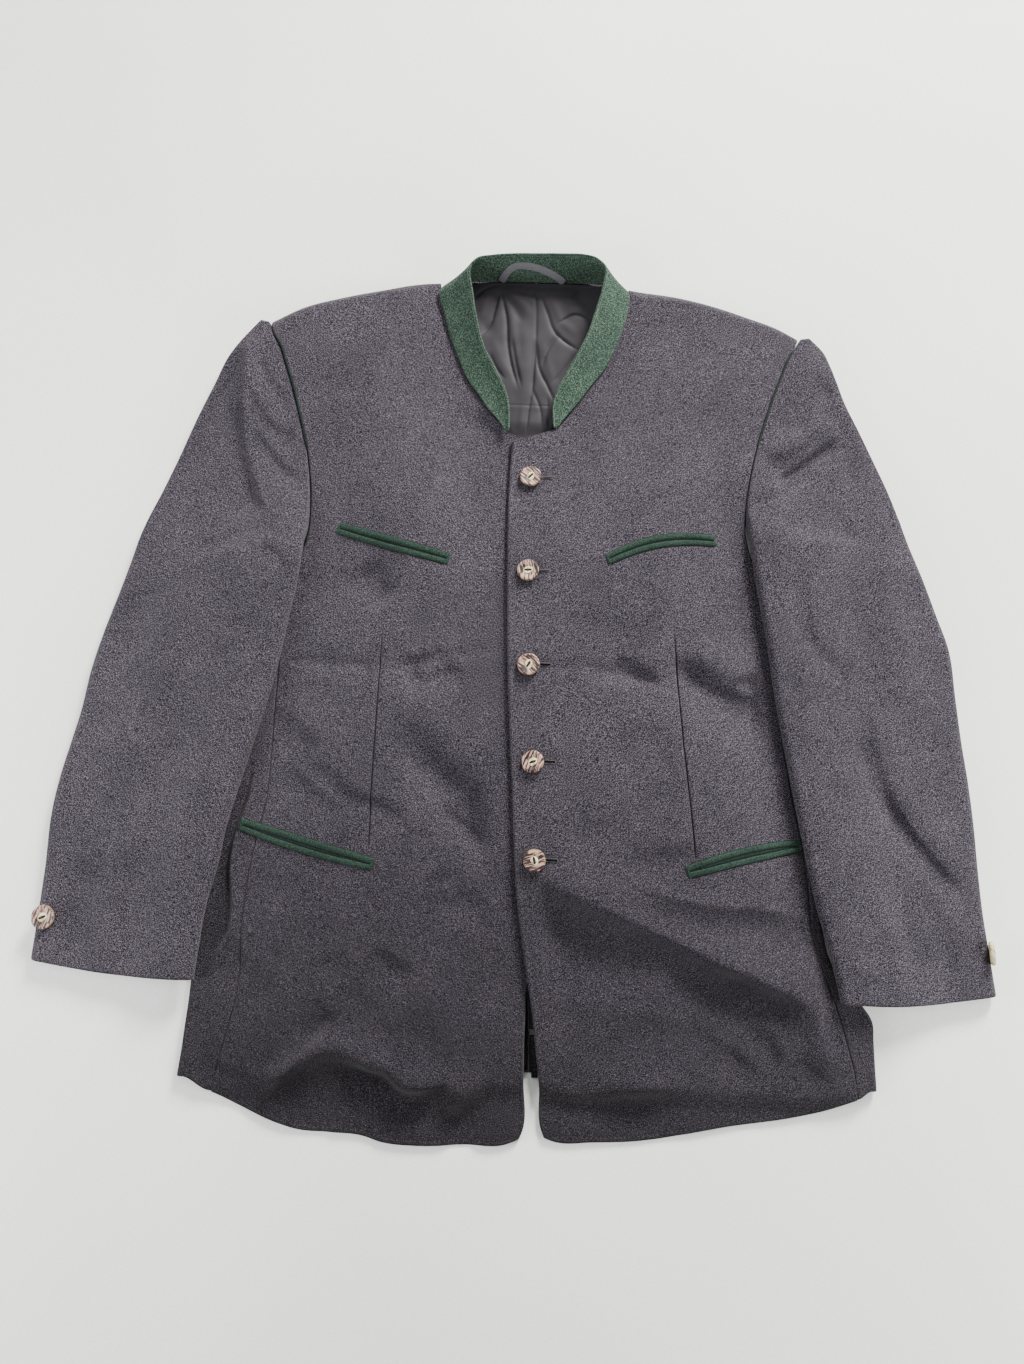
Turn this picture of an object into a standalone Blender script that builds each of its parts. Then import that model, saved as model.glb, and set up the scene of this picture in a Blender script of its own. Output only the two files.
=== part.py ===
"""A tyrolean loden jacket with a stand collar, buttoned and laid flat on its back.

Sizes in the tables are millimetres. X runs to the wearer's left, Y to the collar, Z up from the floor.
Each sewn piece is one closed wall. The back lies on the floor, the fronts lie on the back, and the
sleeves are flattened tubes that lie beside the body and partly over its edges.
"""
from collections import namedtuple

import bpy
import numpy as np
from mathutils import Vector
from mathutils.bvhtree import BVHTree

MM = 0.001
WALL = 3.0          # cloth and lining together, in a panel
SEAM = 0.32         # clear space between two pieces at a seam
EASE = 3.5          # air between an upper panel and the one under it
INSIDE = WALL + EASE
EDGE_HEIGHT = 9.2   # height of the body at its side folds
TUBE = 9.6          # height of a flattened sleeve
CUFF_LIFT = 10.3    # how far a sleeve is raised where it lies on the body
SLEEVE_RAMP = 72.0   # how far a sleeve takes to come down from the body to the floor
UNDERARM_RISE = 215.0   # where the top of a sleeve begins to rise toward its lifted stretch
LOFT = 15.0         # how far the middle of the body stands above its edges
HEM_FALL = 6.1      # how far the fronts come down past the hem of the back
NECK_EDGE = 10.4    # height of the fronts along the collar seam
LAP_UNDER = 6.6     # height of the right front where the left front lies on it
LIP_WIDTH = 4.9     # one lip of a jetted pocket
LIP_THICK = 1.1
BUTTON_RADIUS = 10.2
BUTTON_THICK = 4.2
CUFF_BUTTON_RADIUS = 10.9

Point = namedtuple("Point", "x y")
SideRow = namedtuple("SideRow", "edge_x edge_y seam_x seam_y tuck_in tuck")
Station = namedtuple("Station", "inner_x inner_y outer_x outer_y lift edge_x")
BandRow = namedtuple("BandRow", "seam_x seam_y seam_z top_x top_y top_z")
Fold = namedtuple("Fold", "part x1 y1 x2 y2 bow height above below")
Lip = namedtuple("Lip", "name side x1 y1 x2 y2 bow spread")
Finish = namedtuple("Finish", "red green blue rough")

LODEN = Finish(0.105, 0.093, 0.110, 0.92)
GREEN = Finish(0.075, 0.120, 0.090, 0.90)
DARK_GREEN = Finish(0.030, 0.050, 0.040, 0.90)
SATIN = Finish(0.150, 0.135, 0.155, 0.45)
DARK_SATIN = Finish(0.012, 0.011, 0.014, 0.55)
TAPE = Finish(0.190, 0.190, 0.210, 0.70)
HORN = Finish(0.430, 0.310, 0.230, 0.35)

# The body's side fold and the seam of its side panel, from the hem up to the underarm. tuck_in is how
# far from the seam the cloth drops to a ledge under the sleeve, and tuck is the share of that drop.
RIGHT_SIDE = [
    SideRow(-297, -364, -266, -376, 18, 0),
    SideRow(-295, -345, -260, -350, 20, 0),
    SideRow(-293, -321, -254, -325, 24, 0),
    SideRow(-291, -296, -248, -297, 28, 0.15),
    SideRow(-290, -277, -246, -278, 29, 0.35),
    SideRow(-289, -257, -245.5, -258, 22, 0.8),
    SideRow(-288, -239, -246, -240, 12, 1),
    SideRow(-287, -215, -245, -214, 10.5, 1),
    SideRow(-285, -178, -241, -175, 19, 1),
    SideRow(-280, -143, -235, -143, 20, 1),
    SideRow(-272, -118, -230, -118, 17, 0.8),
    SideRow(-263, -98, -229, -98, 15, 0.3),
    SideRow(-256, -66, -229, -66, 14, 0),
    SideRow(-252, -25, -228, -25, 13, 0),
    SideRow(-249, 32, -226, 32, 13, 0),
    SideRow(-250, 75, -224, 75, 13, 0),
    SideRow(-250, 104, -222, 104, 13, 0),
]
LEFT_SIDE = [
    SideRow(327, -360, 309, -367, 5, 0),
    SideRow(326, -340, 306, -344, 6, 0),
    SideRow(325, -318, 300, -320, 8, 0),
    SideRow(324, -300, 295, -301, 9.6, 0),
    SideRow(314, -285, 290, -285, 7.6, 0),
    SideRow(300, -268, 283, -268, 4.8, 0),
    SideRow(287, -248, 276, -248, 2.6, 0),
    SideRow(281, -225, 270, -225, 2.6, 0),
    SideRow(279, -195, 268, -195, 2.6, 0),
    SideRow(275, -160, 264, -160, 2.6, 0),
    SideRow(270, -125, 258, -125, 2.9, 0),
    SideRow(264, -90, 251, -90, 3.2, 0),
    SideRow(260, -50, 245, -50, 4, 0),
    SideRow(257, -6, 240, -6, 4.8, 0),
    SideRow(255, 38, 234, 38, 6.4, 0),
    SideRow(255, 75, 228, 75, 8.8, 0),
    SideRow(255, 108, 222, 108, 11, 0),
]
UNDERARM_RIGHT = Point(-214, 113)
UNDERARM_LEFT = Point(217, 121)
BACK_SEAM_IN = 45.0  # from the side fold to the seam between side panel and back
TUCK_DEEP = 2.3      # how far the ledge beside a tuck lies below the fold

# The sleeves, from the head of the sleeve to the cuff. The inner points follow the armhole
# seam down to the underarm and the sleeve's fold below it.
RIGHT_SLEEVE = [
    Station(-254, 344, -261, 346, 0, 0),
    Station(-249, 332, -275, 332, 0, 0),
    Station(-242, 321, -290, 312, 0, 0),
    Station(-236, 304, -303, 281, 0, 0),
    Station(-230, 287, -316, 250, 0, 0),
    Station(-220, 252, -333, 205, 0, 0),
    Station(-212, 220, -347, 170, 0, 0),
    Station(-207, 185, -358, 145, 0, 0),
    Station(-206, 148, -366, 122, 0, 0),
    Station(-209, 123, -373, 98, 1, -251),
    Station(-212, 90, -380, 74, 1, -251),
    Station(-219, 49, -391, 38, 1, -250.5),
    Station(-226, 6, -401, -2, 1, -251),
    Station(-235, -33, -407, -40, 1, -253),
    Station(-244, -66, -414, -70, 1, -257),
    Station(-252.5, -98, -421, -100, 1, -264),
    Station(-264, -143, -427, -141, 1, -281),
    Station(-270, -180, -430, -180, 1, -286),
    Station(-277.5, -212, -432, -212, 1, -288),
    Station(-281.5, -245, -434, -240, 1, -289.5),
    Station(-284.5, -279, -436, -267, 1, -291.5),
]
LEFT_SLEEVE = [
    Station(263, 340, 270.5, 341.5, 0, 0),
    Station(256, 328, 284, 330, 0, 0),
    Station(250, 317, 291, 317, 0, 0),
    Station(244, 301, 298, 299, 0, 0),
    Station(239, 288, 304, 282, 0, 0),
    Station(230, 260, 320, 248, 0, 0),
    Station(222, 232, 334, 217, 0, 0),
    Station(215, 200, 345, 192, 0, 0),
    Station(211, 165, 357, 160, 0, 0),
    Station(213, 138, 366, 136, 1, 257),
    Station(217, 108, 377, 108, 1, 257),
    Station(223, 72, 389, 73, 1, 256),
    Station(229, 38, 400, 40, 1, 256),
    Station(235, -6, 405, -6, 1, 258),
    Station(241, -42, 409, -45, 1, 261),
    Station(248, -80, 414, -82, 1, 264),
    Station(256, -122, 418, -122, 1, 270),
    Station(264, -163, 422, -163, 1, 277),
    Station(272, -200, 426, -200, 1, 281),
    Station(283, -240, 431, -238, 1, 289),
    Station(288.5, -263, 433.5, -257, 1, 309),
    Station(293, -284, 436, -275, 1, 326),
]
LAST_UNLIFTED = 8  # the sleeve's inner points up to this one are the armhole seam

# The other sides of the front panels, from the hem up.
RIGHT_FRONT_EDGE = [
    Point(9, -407), Point(13.5, -397), Point(12.5, -349), Point(11.5, -305), Point(15, -272),
    Point(26, -240), Point(35, -200), Point(39, -166), Point(37, -76), Point(31, 14),
    Point(28, 104), Point(27, 195), Point(24, 231),
]
RIGHT_NECK = [
    Point(-20, 240), Point(-40, 264), Point(-57, 288), Point(-72, 324), Point(-82, 358), Point(-86, 386),
]
LEFT_FRONT_EDGE = [
    Point(34, -408), Point(29, -401), Point(25, -354), Point(22, -326), Point(18, -299), Point(13, -270),
    Point(2, -201), Point(-5, -103), Point(-12, 5), Point(-15, 97), Point(-16, 182), Point(-14, 232),
]
LEFT_NECK = [
    Point(28, 244), Point(44, 264), Point(60, 287), Point(75, 308),
    Point(87, 337), Point(94, 364), Point(96, 384),
]
# Shoulder lines from the sleeve head to the neck, and hems from the side seam to the front edge.
RIGHT_SHOULDER = [
    Point(-254, 345), Point(-222, 361), Point(-185, 372),
    Point(-145, 381), Point(-109, 388), Point(-86, 390),
]
LEFT_SHOULDER = [
    Point(263, 341), Point(243, 351), Point(213, 362),
    Point(181, 372), Point(150, 379), Point(96, 387),
]
RIGHT_HEM = [
    Point(-266, -376), Point(-237, -386), Point(-204, -396), Point(-184, -401), Point(-162, -402),
    Point(-131, -404), Point(-113, -410), Point(-78, -414), Point(-40, -412), Point(9, -407),
]
LEFT_HEM = [
    Point(309, -367), Point(276, -377), Point(249, -382), Point(188, -392), Point(153, -399),
    Point(117, -405), Point(75, -408), Point(34, -408),
]
BACK_CENTRE = [Point(16.5, -353), Point(12, -200), Point(8, 100), Point(5, 398.4)]

# The collar, from the right end over the back to the left end: its seam and its free edge.
COLLAR = [
    BandRow(-19.5, 240.5, 10.6, -17.2, 241.5, 12.5),
    BandRow(-29, 253, 10.6, -17.2, 262, 15),
    BandRow(-39.5, 265, 10.6, -21, 279, 18),
    BandRow(-48, 278, 10.6, -31, 299, 20),
    BandRow(-56.5, 289, 10.7, -41, 317, 22),
    BandRow(-71.5, 325, 10.8, -50, 345, 25),
    BandRow(-81.5, 359, 10.9, -55, 372, 27.5),
    BandRow(-84.0, 385, 10.6, -58, 398, 30),
    BandRow(-72, 393.5, 7.6, -52, 406, 31.5),
    BandRow(-48, 397, 4.6, -38, 410, 31.5),
    BandRow(-22, 398, 3.8, -18, 412.5, 31),
    BandRow(5, 398.3, 3.7, 5, 413.5, 30.5),
    BandRow(34, 398.3, 3.8, 30, 413.8, 31),
    BandRow(62, 397.5, 4.8, 51, 413, 31.5),
    BandRow(82, 393.5, 7.8, 62, 409.5, 31.5),
    BandRow(94, 386, 10.6, 69.5, 402, 30),
    BandRow(94.5, 366, 10.9, 68, 382, 27.5),
    BandRow(86.5, 338, 10.8, 61.5, 358, 25),
    BandRow(74.5, 309, 10.7, 55, 337, 22.5),
    BandRow(59.5, 288, 10.6, 44.5, 315, 20.5),
    BandRow(51.5, 276, 10.6, 36, 299, 18.5),
    BandRow(43.5, 265.5, 10.6, 28.5, 284, 16.5),
    BandRow(35, 254.5, 10.6, 23.5, 266, 14.5),
    BandRow(28.2, 245.5, 10.6, 25, 245.5, 12.5),
]
COLLAR_THICK = 2.6
BAND_SWELL = 1.2
LOOP_ROWS = [  # place along the back collar, place up the band, lift from it
    Point(-30, 0.10), Point(-23, 0.42), Point(-14, 0.66), Point(-5, 0.74), Point(6, 0.68),
    Point(18, 0.56), Point(27, 0.40), Point(33, 0.10),
]
LOOP_WIDTH = 6.6
LOOP_THICK = 1.0

# The largest folds of the cloth, as ridges (height above 0) and troughs (below 0).
FOLDS = [
    Fold("front_left", 24, -182, 270, -292, 6, 4.2, 30, 13),
    Fold("front_left", 120, -198, 236, -212, -3, 2.2, 14, 12),
    Fold("front_left", 84, 12, 130, 1, 0, -1.6, 11, 11),
    Fold("front_left", 148, 22, 200, -5, -4, -2.0, 10, 12),
    Fold("front_left", 40, -372, 130, -384, 3, -2.0, 12, 14),
    Fold("front_left", 225, -305, 262, -350, 0, 1.6, 12, 12),
    Fold("front_right", -112, -50, -8, -160, 8, -2.4, 15, 15),
    Fold("front_right", -206, -60, -156, -128, 0, -1.8, 13, 13),
    Fold("front_right", -196, 12, -96, 8, -3, -1.4, 10, 10),
    Fold("front_right", -178, -352, -86, -352, 14, 3.4, 16, 10),
    Fold("front_right", -150, -364, -84, -376, 3, -2.2, 10, 14),
    Fold("front_right", -190, 60, -120, 110, 0, -1.0, 22, 22),
    Fold("sleeve_right", -276, 328, -284, 262, -5, 3.2, 12, 12),
    Fold("sleeve_right", -286, 240, -262, 176, -5, -2.6, 12, 12),
    Fold("sleeve_right", -330, 60, -402, -180, 10, 2.0, 26, 26),
    Fold("sleeve_left", 282, 300, 244, 250, -10, -2.2, 10, 10),
    Fold("sleeve_left", 290, 246, 236, 208, -6, -3.0, 11, 13),
    Fold("sleeve_left", 282, 262, 236, 226, -6, 2.4, 10, 10),
    Fold("sleeve_left", 316, -50, 398, -184, -14, -2.4, 14, 12),
    Fold("sleeve_left", 264, 60, 300, 10, -10, -1.6, 12, 12),
]
# Jetted pockets: the middle of the slit, its bow, and how far the lips stand apart.
LIPS = [
    Lip("chest_lips_right", "front_right", -175, 139.5, -72, 110.5, -1.5, 0.5),
    Lip("chest_lips_left", "front_left", 80, 114, 179, 137, 7.0, 0.5),
    Lip("hip_lips_right", "front_right", -251, -141.3, -131, -172.5, -1.0, 3.0),
    Lip("hip_lips_left", "front_left", 157, -171.5, 259, -146.5, 2.5, 3.4),
]
FRONT_BUTTONS = [Point(4.4, 194.6), Point(4, 100.8), Point(6.8, 12.2), Point(13, -77), Point(17, -165.2)]


def smooth(value):
    """Return a step from 0 to 1 that is level at both ends."""
    v = np.clip(value, 0.0, 1.0)
    return v * v * (3.0 - 2.0 * v)


def curve(rows, count=None, at=None):
    """Return points on the smooth line through rows, evenly spaced or at given shares."""
    p = np.array([(r.x, r.y) for r in rows], float)
    run = np.concatenate([[0.0], np.cumsum(np.linalg.norm(np.diff(p, axis=0), axis=1))])
    shares = np.linspace(0.0, 1.0, count) if at is None else np.asarray(at, float)
    want = shares * run[-1]
    slope = np.gradient(p, run, axis=0)
    k = np.clip(np.searchsorted(run, want, side="right") - 1, 0, len(p) - 2)
    span = (run[k + 1] - run[k])[:, None]
    t = ((want - run[k])[:, None]) / span
    a = p[k] * (2 * t**3 - 3 * t**2 + 1) + p[k + 1] * (3 * t**2 - 2 * t**3)
    b = slope[k] * span * (t**3 - 2 * t**2 + t) + slope[k + 1] * span * (t**3 - t**2)
    return a + b


def fold_height(part, x, y):
    """Return the height that the folds of one part add at a place."""
    total = np.zeros_like(np.asarray(x, float))
    for fold in FOLDS:
        if fold.part != part:
            continue
        ax, ay = fold.x2 - fold.x1, fold.y2 - fold.y1
        length = np.hypot(ax, ay)
        along = ((x - fold.x1) * ax + (y - fold.y1) * ay) / length**2
        across = ((y - fold.y1) * ax - (x - fold.x1) * ay) / length
        if ax < 0:
            across = -across
        across = across - fold.bow * (1.0 - (2.0 * np.clip(along, 0, 1) - 1.0) ** 2)
        width = np.where(across > 0, fold.above, fold.below)
        fade = smooth((along + 0.18) / 0.3) * smooth((1.18 - along) / 0.3)
        total = total + fold.height * fade * np.exp(-((across / width) ** 2))
    return total


def inner_fold_x(stations, y):
    """Return the x of a sleeve's inner edge beside the place y."""
    rows = sorted((s.inner_y, s.inner_x) for s in stations)
    return np.interp(y, [r[0] for r in rows], [r[1] for r in rows])


def under_lap(x, y):
    """Return how far the right front is pressed down at a place, where the left front covers it."""
    return smooth((x + 92.0) / 46.0) * smooth((278.0 - y) / 32.0)


def tucked_under(x, y):
    """Return how much further the right front is pressed down below the neck, under the left one."""
    return 0.9 * smooth((236.0 - y) / 12.0) * smooth((y + 330.0) / 50.0) * under_lap(x, y)


def loft(part, x, y):
    """Return how far the middle of a front is held up by the folds of cloth inside."""
    sleeve = LEFT_SLEEVE if part == "front_left" else RIGHT_SLEEVE
    clear = np.abs(inner_fold_x(sleeve, y)) - np.abs(x)
    out = smooth((clear - 5.0) / 100.0) * smooth((np.abs(x - 8.0) + 84.0) / 110.0)
    down = smooth((y + 392.0) / 320.0) * smooth((345.0 - y) / 190.0)
    neck = smooth((np.hypot(x - 5.0, y - 300.0) - 62.0) / 150.0)
    return LOFT * out * down * neck


def hem_drop(x, y):
    """Return how far a front has come down to the floor, past the hem of the back."""
    back_hem = np.interp(x, [-297.0, 16.0, 327.0], [-364.0, -353.0, -360.0])
    return smooth((back_hem - 3.0 - y) / 24.0)


def front_top(part, x, y):
    """Return the height of a front's outer face at a place."""
    sleeve = LEFT_SLEEVE if part == "front_left" else RIGHT_SLEEVE
    clear = np.abs(inner_fold_x(sleeve, y)) - np.abs(x)
    open_side = smooth((-290.0 - y) / 30.0)
    middle = np.maximum(smooth((clear - 8.0) / 34.0), open_side * 0.6)
    high = smooth((y - 132.0) / 70.0)
    pad = 5.2 * smooth((y - 215.0) / 110.0) * smooth((np.abs(x) - 70.0) / 90.0)
    chest = 1.6 * np.exp(-(((np.abs(x) - 110.0) / 90.0) ** 2) - ((y - 190.0) / 110.0) ** 2)
    level = EDGE_HEIGHT - 0.2 + 1.5 * np.maximum(middle, 0.9 * high) + pad * high + chest
    folds = fold_height(part, x, y) * np.maximum(smooth((clear - 5.0) / 16.0), open_side)
    lap = smooth((44.0 - x) / 34.0)
    if part == "front_right":
        level = level + (LAP_UNDER - level) * under_lap(x, y) * smooth((y + 330.0) / 50.0)
        level = level - tucked_under(x, y)
        folds = folds * smooth((-34.0 - x) / 34.0)
    else:
        level = level + (11.3 - level) * lap
        folds = folds * (1.0 - 0.85 * lap)
    return level + loft(part, x, y) + folds - HEM_FALL * hem_drop(x, y)


def front_bottom(part, x, y):
    """Return the height of a front's plain inner face at a place."""
    fall = HEM_FALL * hem_drop(x, y) - loft(part, x, y)
    if part == "front_right":
        return INSIDE - 2.1 * under_lap(x, y) * smooth((y + 330.0) / 50.0) - fall - tucked_under(x, y)
    return INSIDE + 0.55 * smooth((84.0 - x) / 22.0) * smooth((y + 330.0) / 50.0) - fall


def wall(name, outer, inner, finish, ring=False):
    """Make one closed wall from two grids of points, its outer and its inner face.

    A ring joins its last row of points to its first one.
    """
    rows, columns = outer.shape[:2]
    points = np.concatenate([outer.reshape(-1, 3), inner.reshape(-1, 3)]) * MM
    half = rows * columns
    faces = []

    def quad(a, b, c, d):
        faces.append((a, b, c))
        faces.append((a, c, d))

    for i in range(rows if ring else rows - 1):
        for j in range(columns - 1):
            a, b = i * columns + j, i * columns + j + 1
            c = (i + 1) % rows * columns + j
            d = c + 1
            if (i + j) % 2:
                faces.append((a, b, c))
                faces.append((b, d, c))
                faces.append((a + half, c + half, b + half))
                faces.append((b + half, c + half, d + half))
            else:
                faces.append((a, b, d))
                faces.append((a, d, c))
                faces.append((a + half, d + half, b + half))
                faces.append((a + half, c + half, d + half))
    if ring:
        near = [i * columns for i in reversed(range(rows))]
        far = [i * columns + columns - 1 for i in range(rows)]
        borders = [far, near]
    else:
        border = [(0, j) for j in range(columns)]
        border += [(i, columns - 1) for i in range(1, rows)]
        border += [(rows - 1, j) for j in range(columns - 2, -1, -1)]
        border += [(i, 0) for i in range(rows - 2, 0, -1)]
        borders = [[i * columns + j for i, j in border]]
    for line in borders:
        for a, b in zip(line, line[1:] + line[:1]):
            quad(a, a + half, b + half, b)
    return solid(name, points, faces, finish)


def solid(name, points, faces, finish):
    """Make an object with its own material from points in metres, faces turned outward."""
    tri = np.array(faces)
    a, b, c = points[tri[:, 0]], points[tri[:, 1]], points[tri[:, 2]]
    if np.einsum("ij,ij->i", a, np.cross(b, c)).sum() < 0:
        faces = [f[::-1] for f in faces]
    mesh = bpy.data.meshes.new(name)
    mesh.from_pydata([tuple(p) for p in points], [], faces)
    mesh.update()
    piece = bpy.data.objects.new(name, mesh)
    bpy.context.scene.collection.objects.link(piece)
    material = bpy.data.materials.new(name)
    material.use_nodes = True
    shader = material.node_tree.nodes["Principled BSDF"]
    shader.inputs["Base Color"].default_value = (finish.red, finish.green, finish.blue, 1.0)
    shader.inputs["Roughness"].default_value = finish.rough
    shader.inputs["Metallic"].default_value = 0.0
    mesh.materials.append(material)
    return piece


def patch(outer_side, inner_side, top, bottom, columns):
    """Fill the area between four sides with rows of points, from the hem up."""
    rows = len(outer_side)
    u = columns[None, :, None]
    v = np.linspace(0.0, 1.0, rows)
    grid = outer_side[:, None, :] * (1 - u) + inner_side[:, None, :] * u
    upper = (top, rows - 1, smooth((v - 0.72) / 0.28))
    lower = (bottom, 0, smooth((0.22 - v) / 0.22))
    for line, k, weight in (upper, lower):
        bend = curve(line, at=columns) - grid[k]
        grid = grid + weight[:, None, None] * bend[None, :, :]
    return grid


def front_side(rows, sleeve, underarm, sign):
    """Return the side points of a front, up the side seam and the armhole."""
    points = [(r.seam_x - sign * SEAM / 2, r.seam_y) for r in rows]
    points.append((underarm.x, underarm.y))
    for s in reversed(sleeve[1:LAST_UNLIFTED + 2]):
        points.append((s.inner_x - sign * (SEAM + 0.15), s.inner_y))
    points.append((sleeve[0].inner_x - sign * (SEAM + 0.15), sleeve[0].inner_y + 1.0))
    return np.array(points)


def inner_side(side, edge, neck):
    """Return a point of the front edge or neck for each point of the side."""
    line = curve(edge + neck, count=400)
    heights = line[:, 1]
    share = (side[:, 1] - side[0, 1]) / (side[-1, 1] - side[0, 1])
    want = heights[0] + share * (heights[-1] - heights[0])
    corner = neck[0].y
    near = int(np.argmin(np.abs(want - corner)))
    order = np.argsort(heights)
    points = np.stack([np.interp(want, heights[order], line[order, 0]), want], axis=1)
    points[near] = (neck[0].x, neck[0].y)
    points[near - 1] = (edge[-1].x, edge[-1].y)
    points[0] = (edge[0].x, edge[0].y)
    points[-1] = (neck[-1].x, neck[-1].y)
    return points


def shoulder_drop(x, y, top, rows):
    """Round the outer face down to the shoulder line."""
    line = curve(rows, count=60)
    order = np.argsort(line[:, 0])
    away = np.interp(x, line[order, 0], line[order, 1]) - y
    near = 1.0 - smooth(away / 16.0)
    lowest = 9.0
    beside_neck = smooth((np.abs(x) - 84.0) / 30.0)
    return top - (top - lowest) * near * (0.35 + 0.65 * beside_neck) * (y > 250)


def make_front(part, rows, sleeve, underarm, edge, neck, shoulder, hem, sign):
    """Make one front panel over the area between its four sides."""
    side = front_side(rows, sleeve, underarm, sign)
    inside = inner_side(side, edge, neck)
    columns = np.array([0, 0.035, 0.10, 0.19, 0.29, 0.39, 0.49, 0.59, 0.69, 0.79, 0.88, 0.95, 1.0])
    plan = patch(side, inside, shoulder, hem, columns)
    x, y = plan[..., 0], plan[..., 1]
    top = shoulder_drop(x, y, front_top(part, x, y), shoulder)
    near_neck = smooth((columns[None, :] - 0.86) / 0.1) * smooth((y - 236.0) / 20.0)
    top = top + (NECK_EDGE - top) * near_neck * (y < 382)
    low = front_bottom(part, x, y)
    outer = np.dstack([x, y, top])
    inner = np.dstack([x, y, np.minimum(low, top - 2.2)])
    return wall(part, outer, inner, LODEN)


def make_side_panel(name, rows, sign):
    """Make the panel that runs from the front seam round the fold to the back seam."""
    outer, inner = [], []
    for r in rows:
        part = "front_left" if sign > 0 else "front_right"
        seam_x = r.seam_x + sign * SEAM / 2
        room = abs(r.edge_x - seam_x)
        near = min(5.0, room * 0.6)
        tuck_x = seam_x + sign * r.tuck_in
        ledge_x = tuck_x + sign * min(3.4, 0.3 * (room - near - r.tuck_in))
        ledge_z = EDGE_HEIGHT - 0.5 - TUCK_DEEP * r.tuck
        back_x = r.edge_x - sign * BACK_SEAM_IN
        half_y = (r.seam_y + r.edge_y) / 2
        seam_z = float(front_top(part, np.array(seam_x), np.array(r.seam_y)))
        low_z = float(front_bottom(part, np.array(seam_x), np.array(r.seam_y)))
        half_z = min((seam_z + EDGE_HEIGHT) / 2, float(front_top(part, np.array(tuck_x), np.array(half_y))))
        ring = [
            (seam_x, r.seam_y, seam_z),
            (tuck_x, half_y, half_z),
            (ledge_x, half_y, min(ledge_z, half_z)),
            (r.edge_x - sign * near, r.edge_y, min(ledge_z, half_z)),
            (r.edge_x - sign * near * 0.25, r.edge_y, 7.2 - TUCK_DEEP * 0.8 * r.tuck),
            (r.edge_x, r.edge_y, 4.7 - TUCK_DEEP * 0.4 * r.tuck),
            (r.edge_x - sign * near * 0.25, r.edge_y, 1.9),
            (r.edge_x - sign * near, r.edge_y, 0.0),
            ((r.edge_x + back_x) / 2, r.edge_y, 0.0),
            (back_x, r.edge_y, 0.0),
        ]
        bend = max(near + 1.0, 4.4)
        inset = [
            (seam_x, r.seam_y, low_z),
            (tuck_x - sign * 0.4, half_y, min((low_z + INSIDE) / 2, half_z - 2.2)),
            (ledge_x - sign * 1.4, half_y, INSIDE - 0.4 - 2.2 * r.tuck),
            (r.edge_x - sign * bend, r.edge_y, INSIDE - 0.4 - 2.2 * r.tuck),
            (r.edge_x - sign * (bend - 1.2), r.edge_y, 5.6 - 1.9 * r.tuck),
            (r.edge_x - sign * (bend - 1.7), r.edge_y, 4.75 - 1.2 * r.tuck),
            (r.edge_x - sign * (bend - 1.2), r.edge_y, 3.9 - 0.5 * r.tuck),
            (r.edge_x - sign * bend, r.edge_y, WALL + 0.2),
            ((r.edge_x + back_x) / 2, r.edge_y, WALL),
            (back_x, r.edge_y, WALL),
        ]
        outer.append(ring)
        inner.append(inset)
    return wall(name, np.array(outer), np.array(inner), LODEN)


def make_back(name, rows, sleeve, shoulder, sign):
    """Make one half of the back, flat on the floor."""
    side = [(r.edge_x - sign * (BACK_SEAM_IN + SEAM), r.edge_y) for r in rows]
    for s in reversed(sleeve[0:LAST_UNLIFTED + 1]):
        side.append((s.inner_x - sign * (SEAM + 0.25), s.inner_y))
    side = np.array(side)
    side[-1, 1] += 1.0
    centre = curve(BACK_CENTRE, count=len(side))
    share = (side[:, 1] - side[0, 1]) / (side[-1, 1] - side[0, 1])
    want = centre[0, 1] + share * (centre[-1, 1] - centre[0, 1])
    centre = np.stack([np.interp(want, centre[:, 1], centre[:, 0]) + sign * SEAM / 2, want], axis=1)
    columns = np.array([0, 0.3, 0.7, 1.0])
    neck = [Point(sign * 70 + 5, 394.5), Point(5 + sign * 0.2, 398.4)]
    hem = [Point(side[0, 0], side[0, 1]), Point(centre[0, 0], centre[0, 1])]
    plan = patch(side, centre, shoulder[:-1] + neck, hem, columns)
    outer = np.dstack([plan[..., 0], plan[..., 1], np.zeros(plan.shape[:2])])
    inner = outer.copy()
    inner[..., 2] = WALL
    return wall(name, outer, inner, LODEN)


def tube_floor(station, across):
    """Return the height of a sleeve's under face, at a distance from its inner fold."""
    overlap = abs(station.edge_x - station.inner_x) if station.edge_x else 0.0
    if station.edge_x and abs(station.edge_x) < abs(station.inner_x):
        overlap = 0.0
    return CUFF_LIFT * station.lift * (1.0 - smooth((across - overlap - 5.0) / SLEEVE_RAMP))


def sleeve_plan(s, across):
    """Return the place at a distance from the inner fold, on the line to the outer one."""
    width = np.hypot(s.outer_x - s.inner_x, s.outer_y - s.inner_y)
    share = across / width
    return s.inner_x + (s.outer_x - s.inner_x) * share, s.inner_y + (s.outer_y - s.inner_y) * share


def sleeve_top(part, s, x, y, across, width, armhole):
    """Return the height of a top sleeve's outer face above its under face."""
    body = "front_left" if part == "sleeve_left" else "front_right"
    near = 1.0 - smooth(across / 30.0)
    beside = float(front_top(body, np.array(s.inner_x), np.array(s.inner_y))) - 0.6
    puff = 3.2 * np.sin(np.pi * np.clip(across / width, 0, 1)) ** 0.6
    head = 3.2 * smooth((s.inner_y - 240.0) / 90.0)
    height = TUBE + puff + head * (1.0 - 0.4 * across / width)
    if armhole:
        height = height + (max(beside, TUBE - 0.6) - height) * near
    edge = np.minimum(across, width - across)
    return height + fold_height(part, x, y) * smooth((edge - 3.0) / 12.0)


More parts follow.
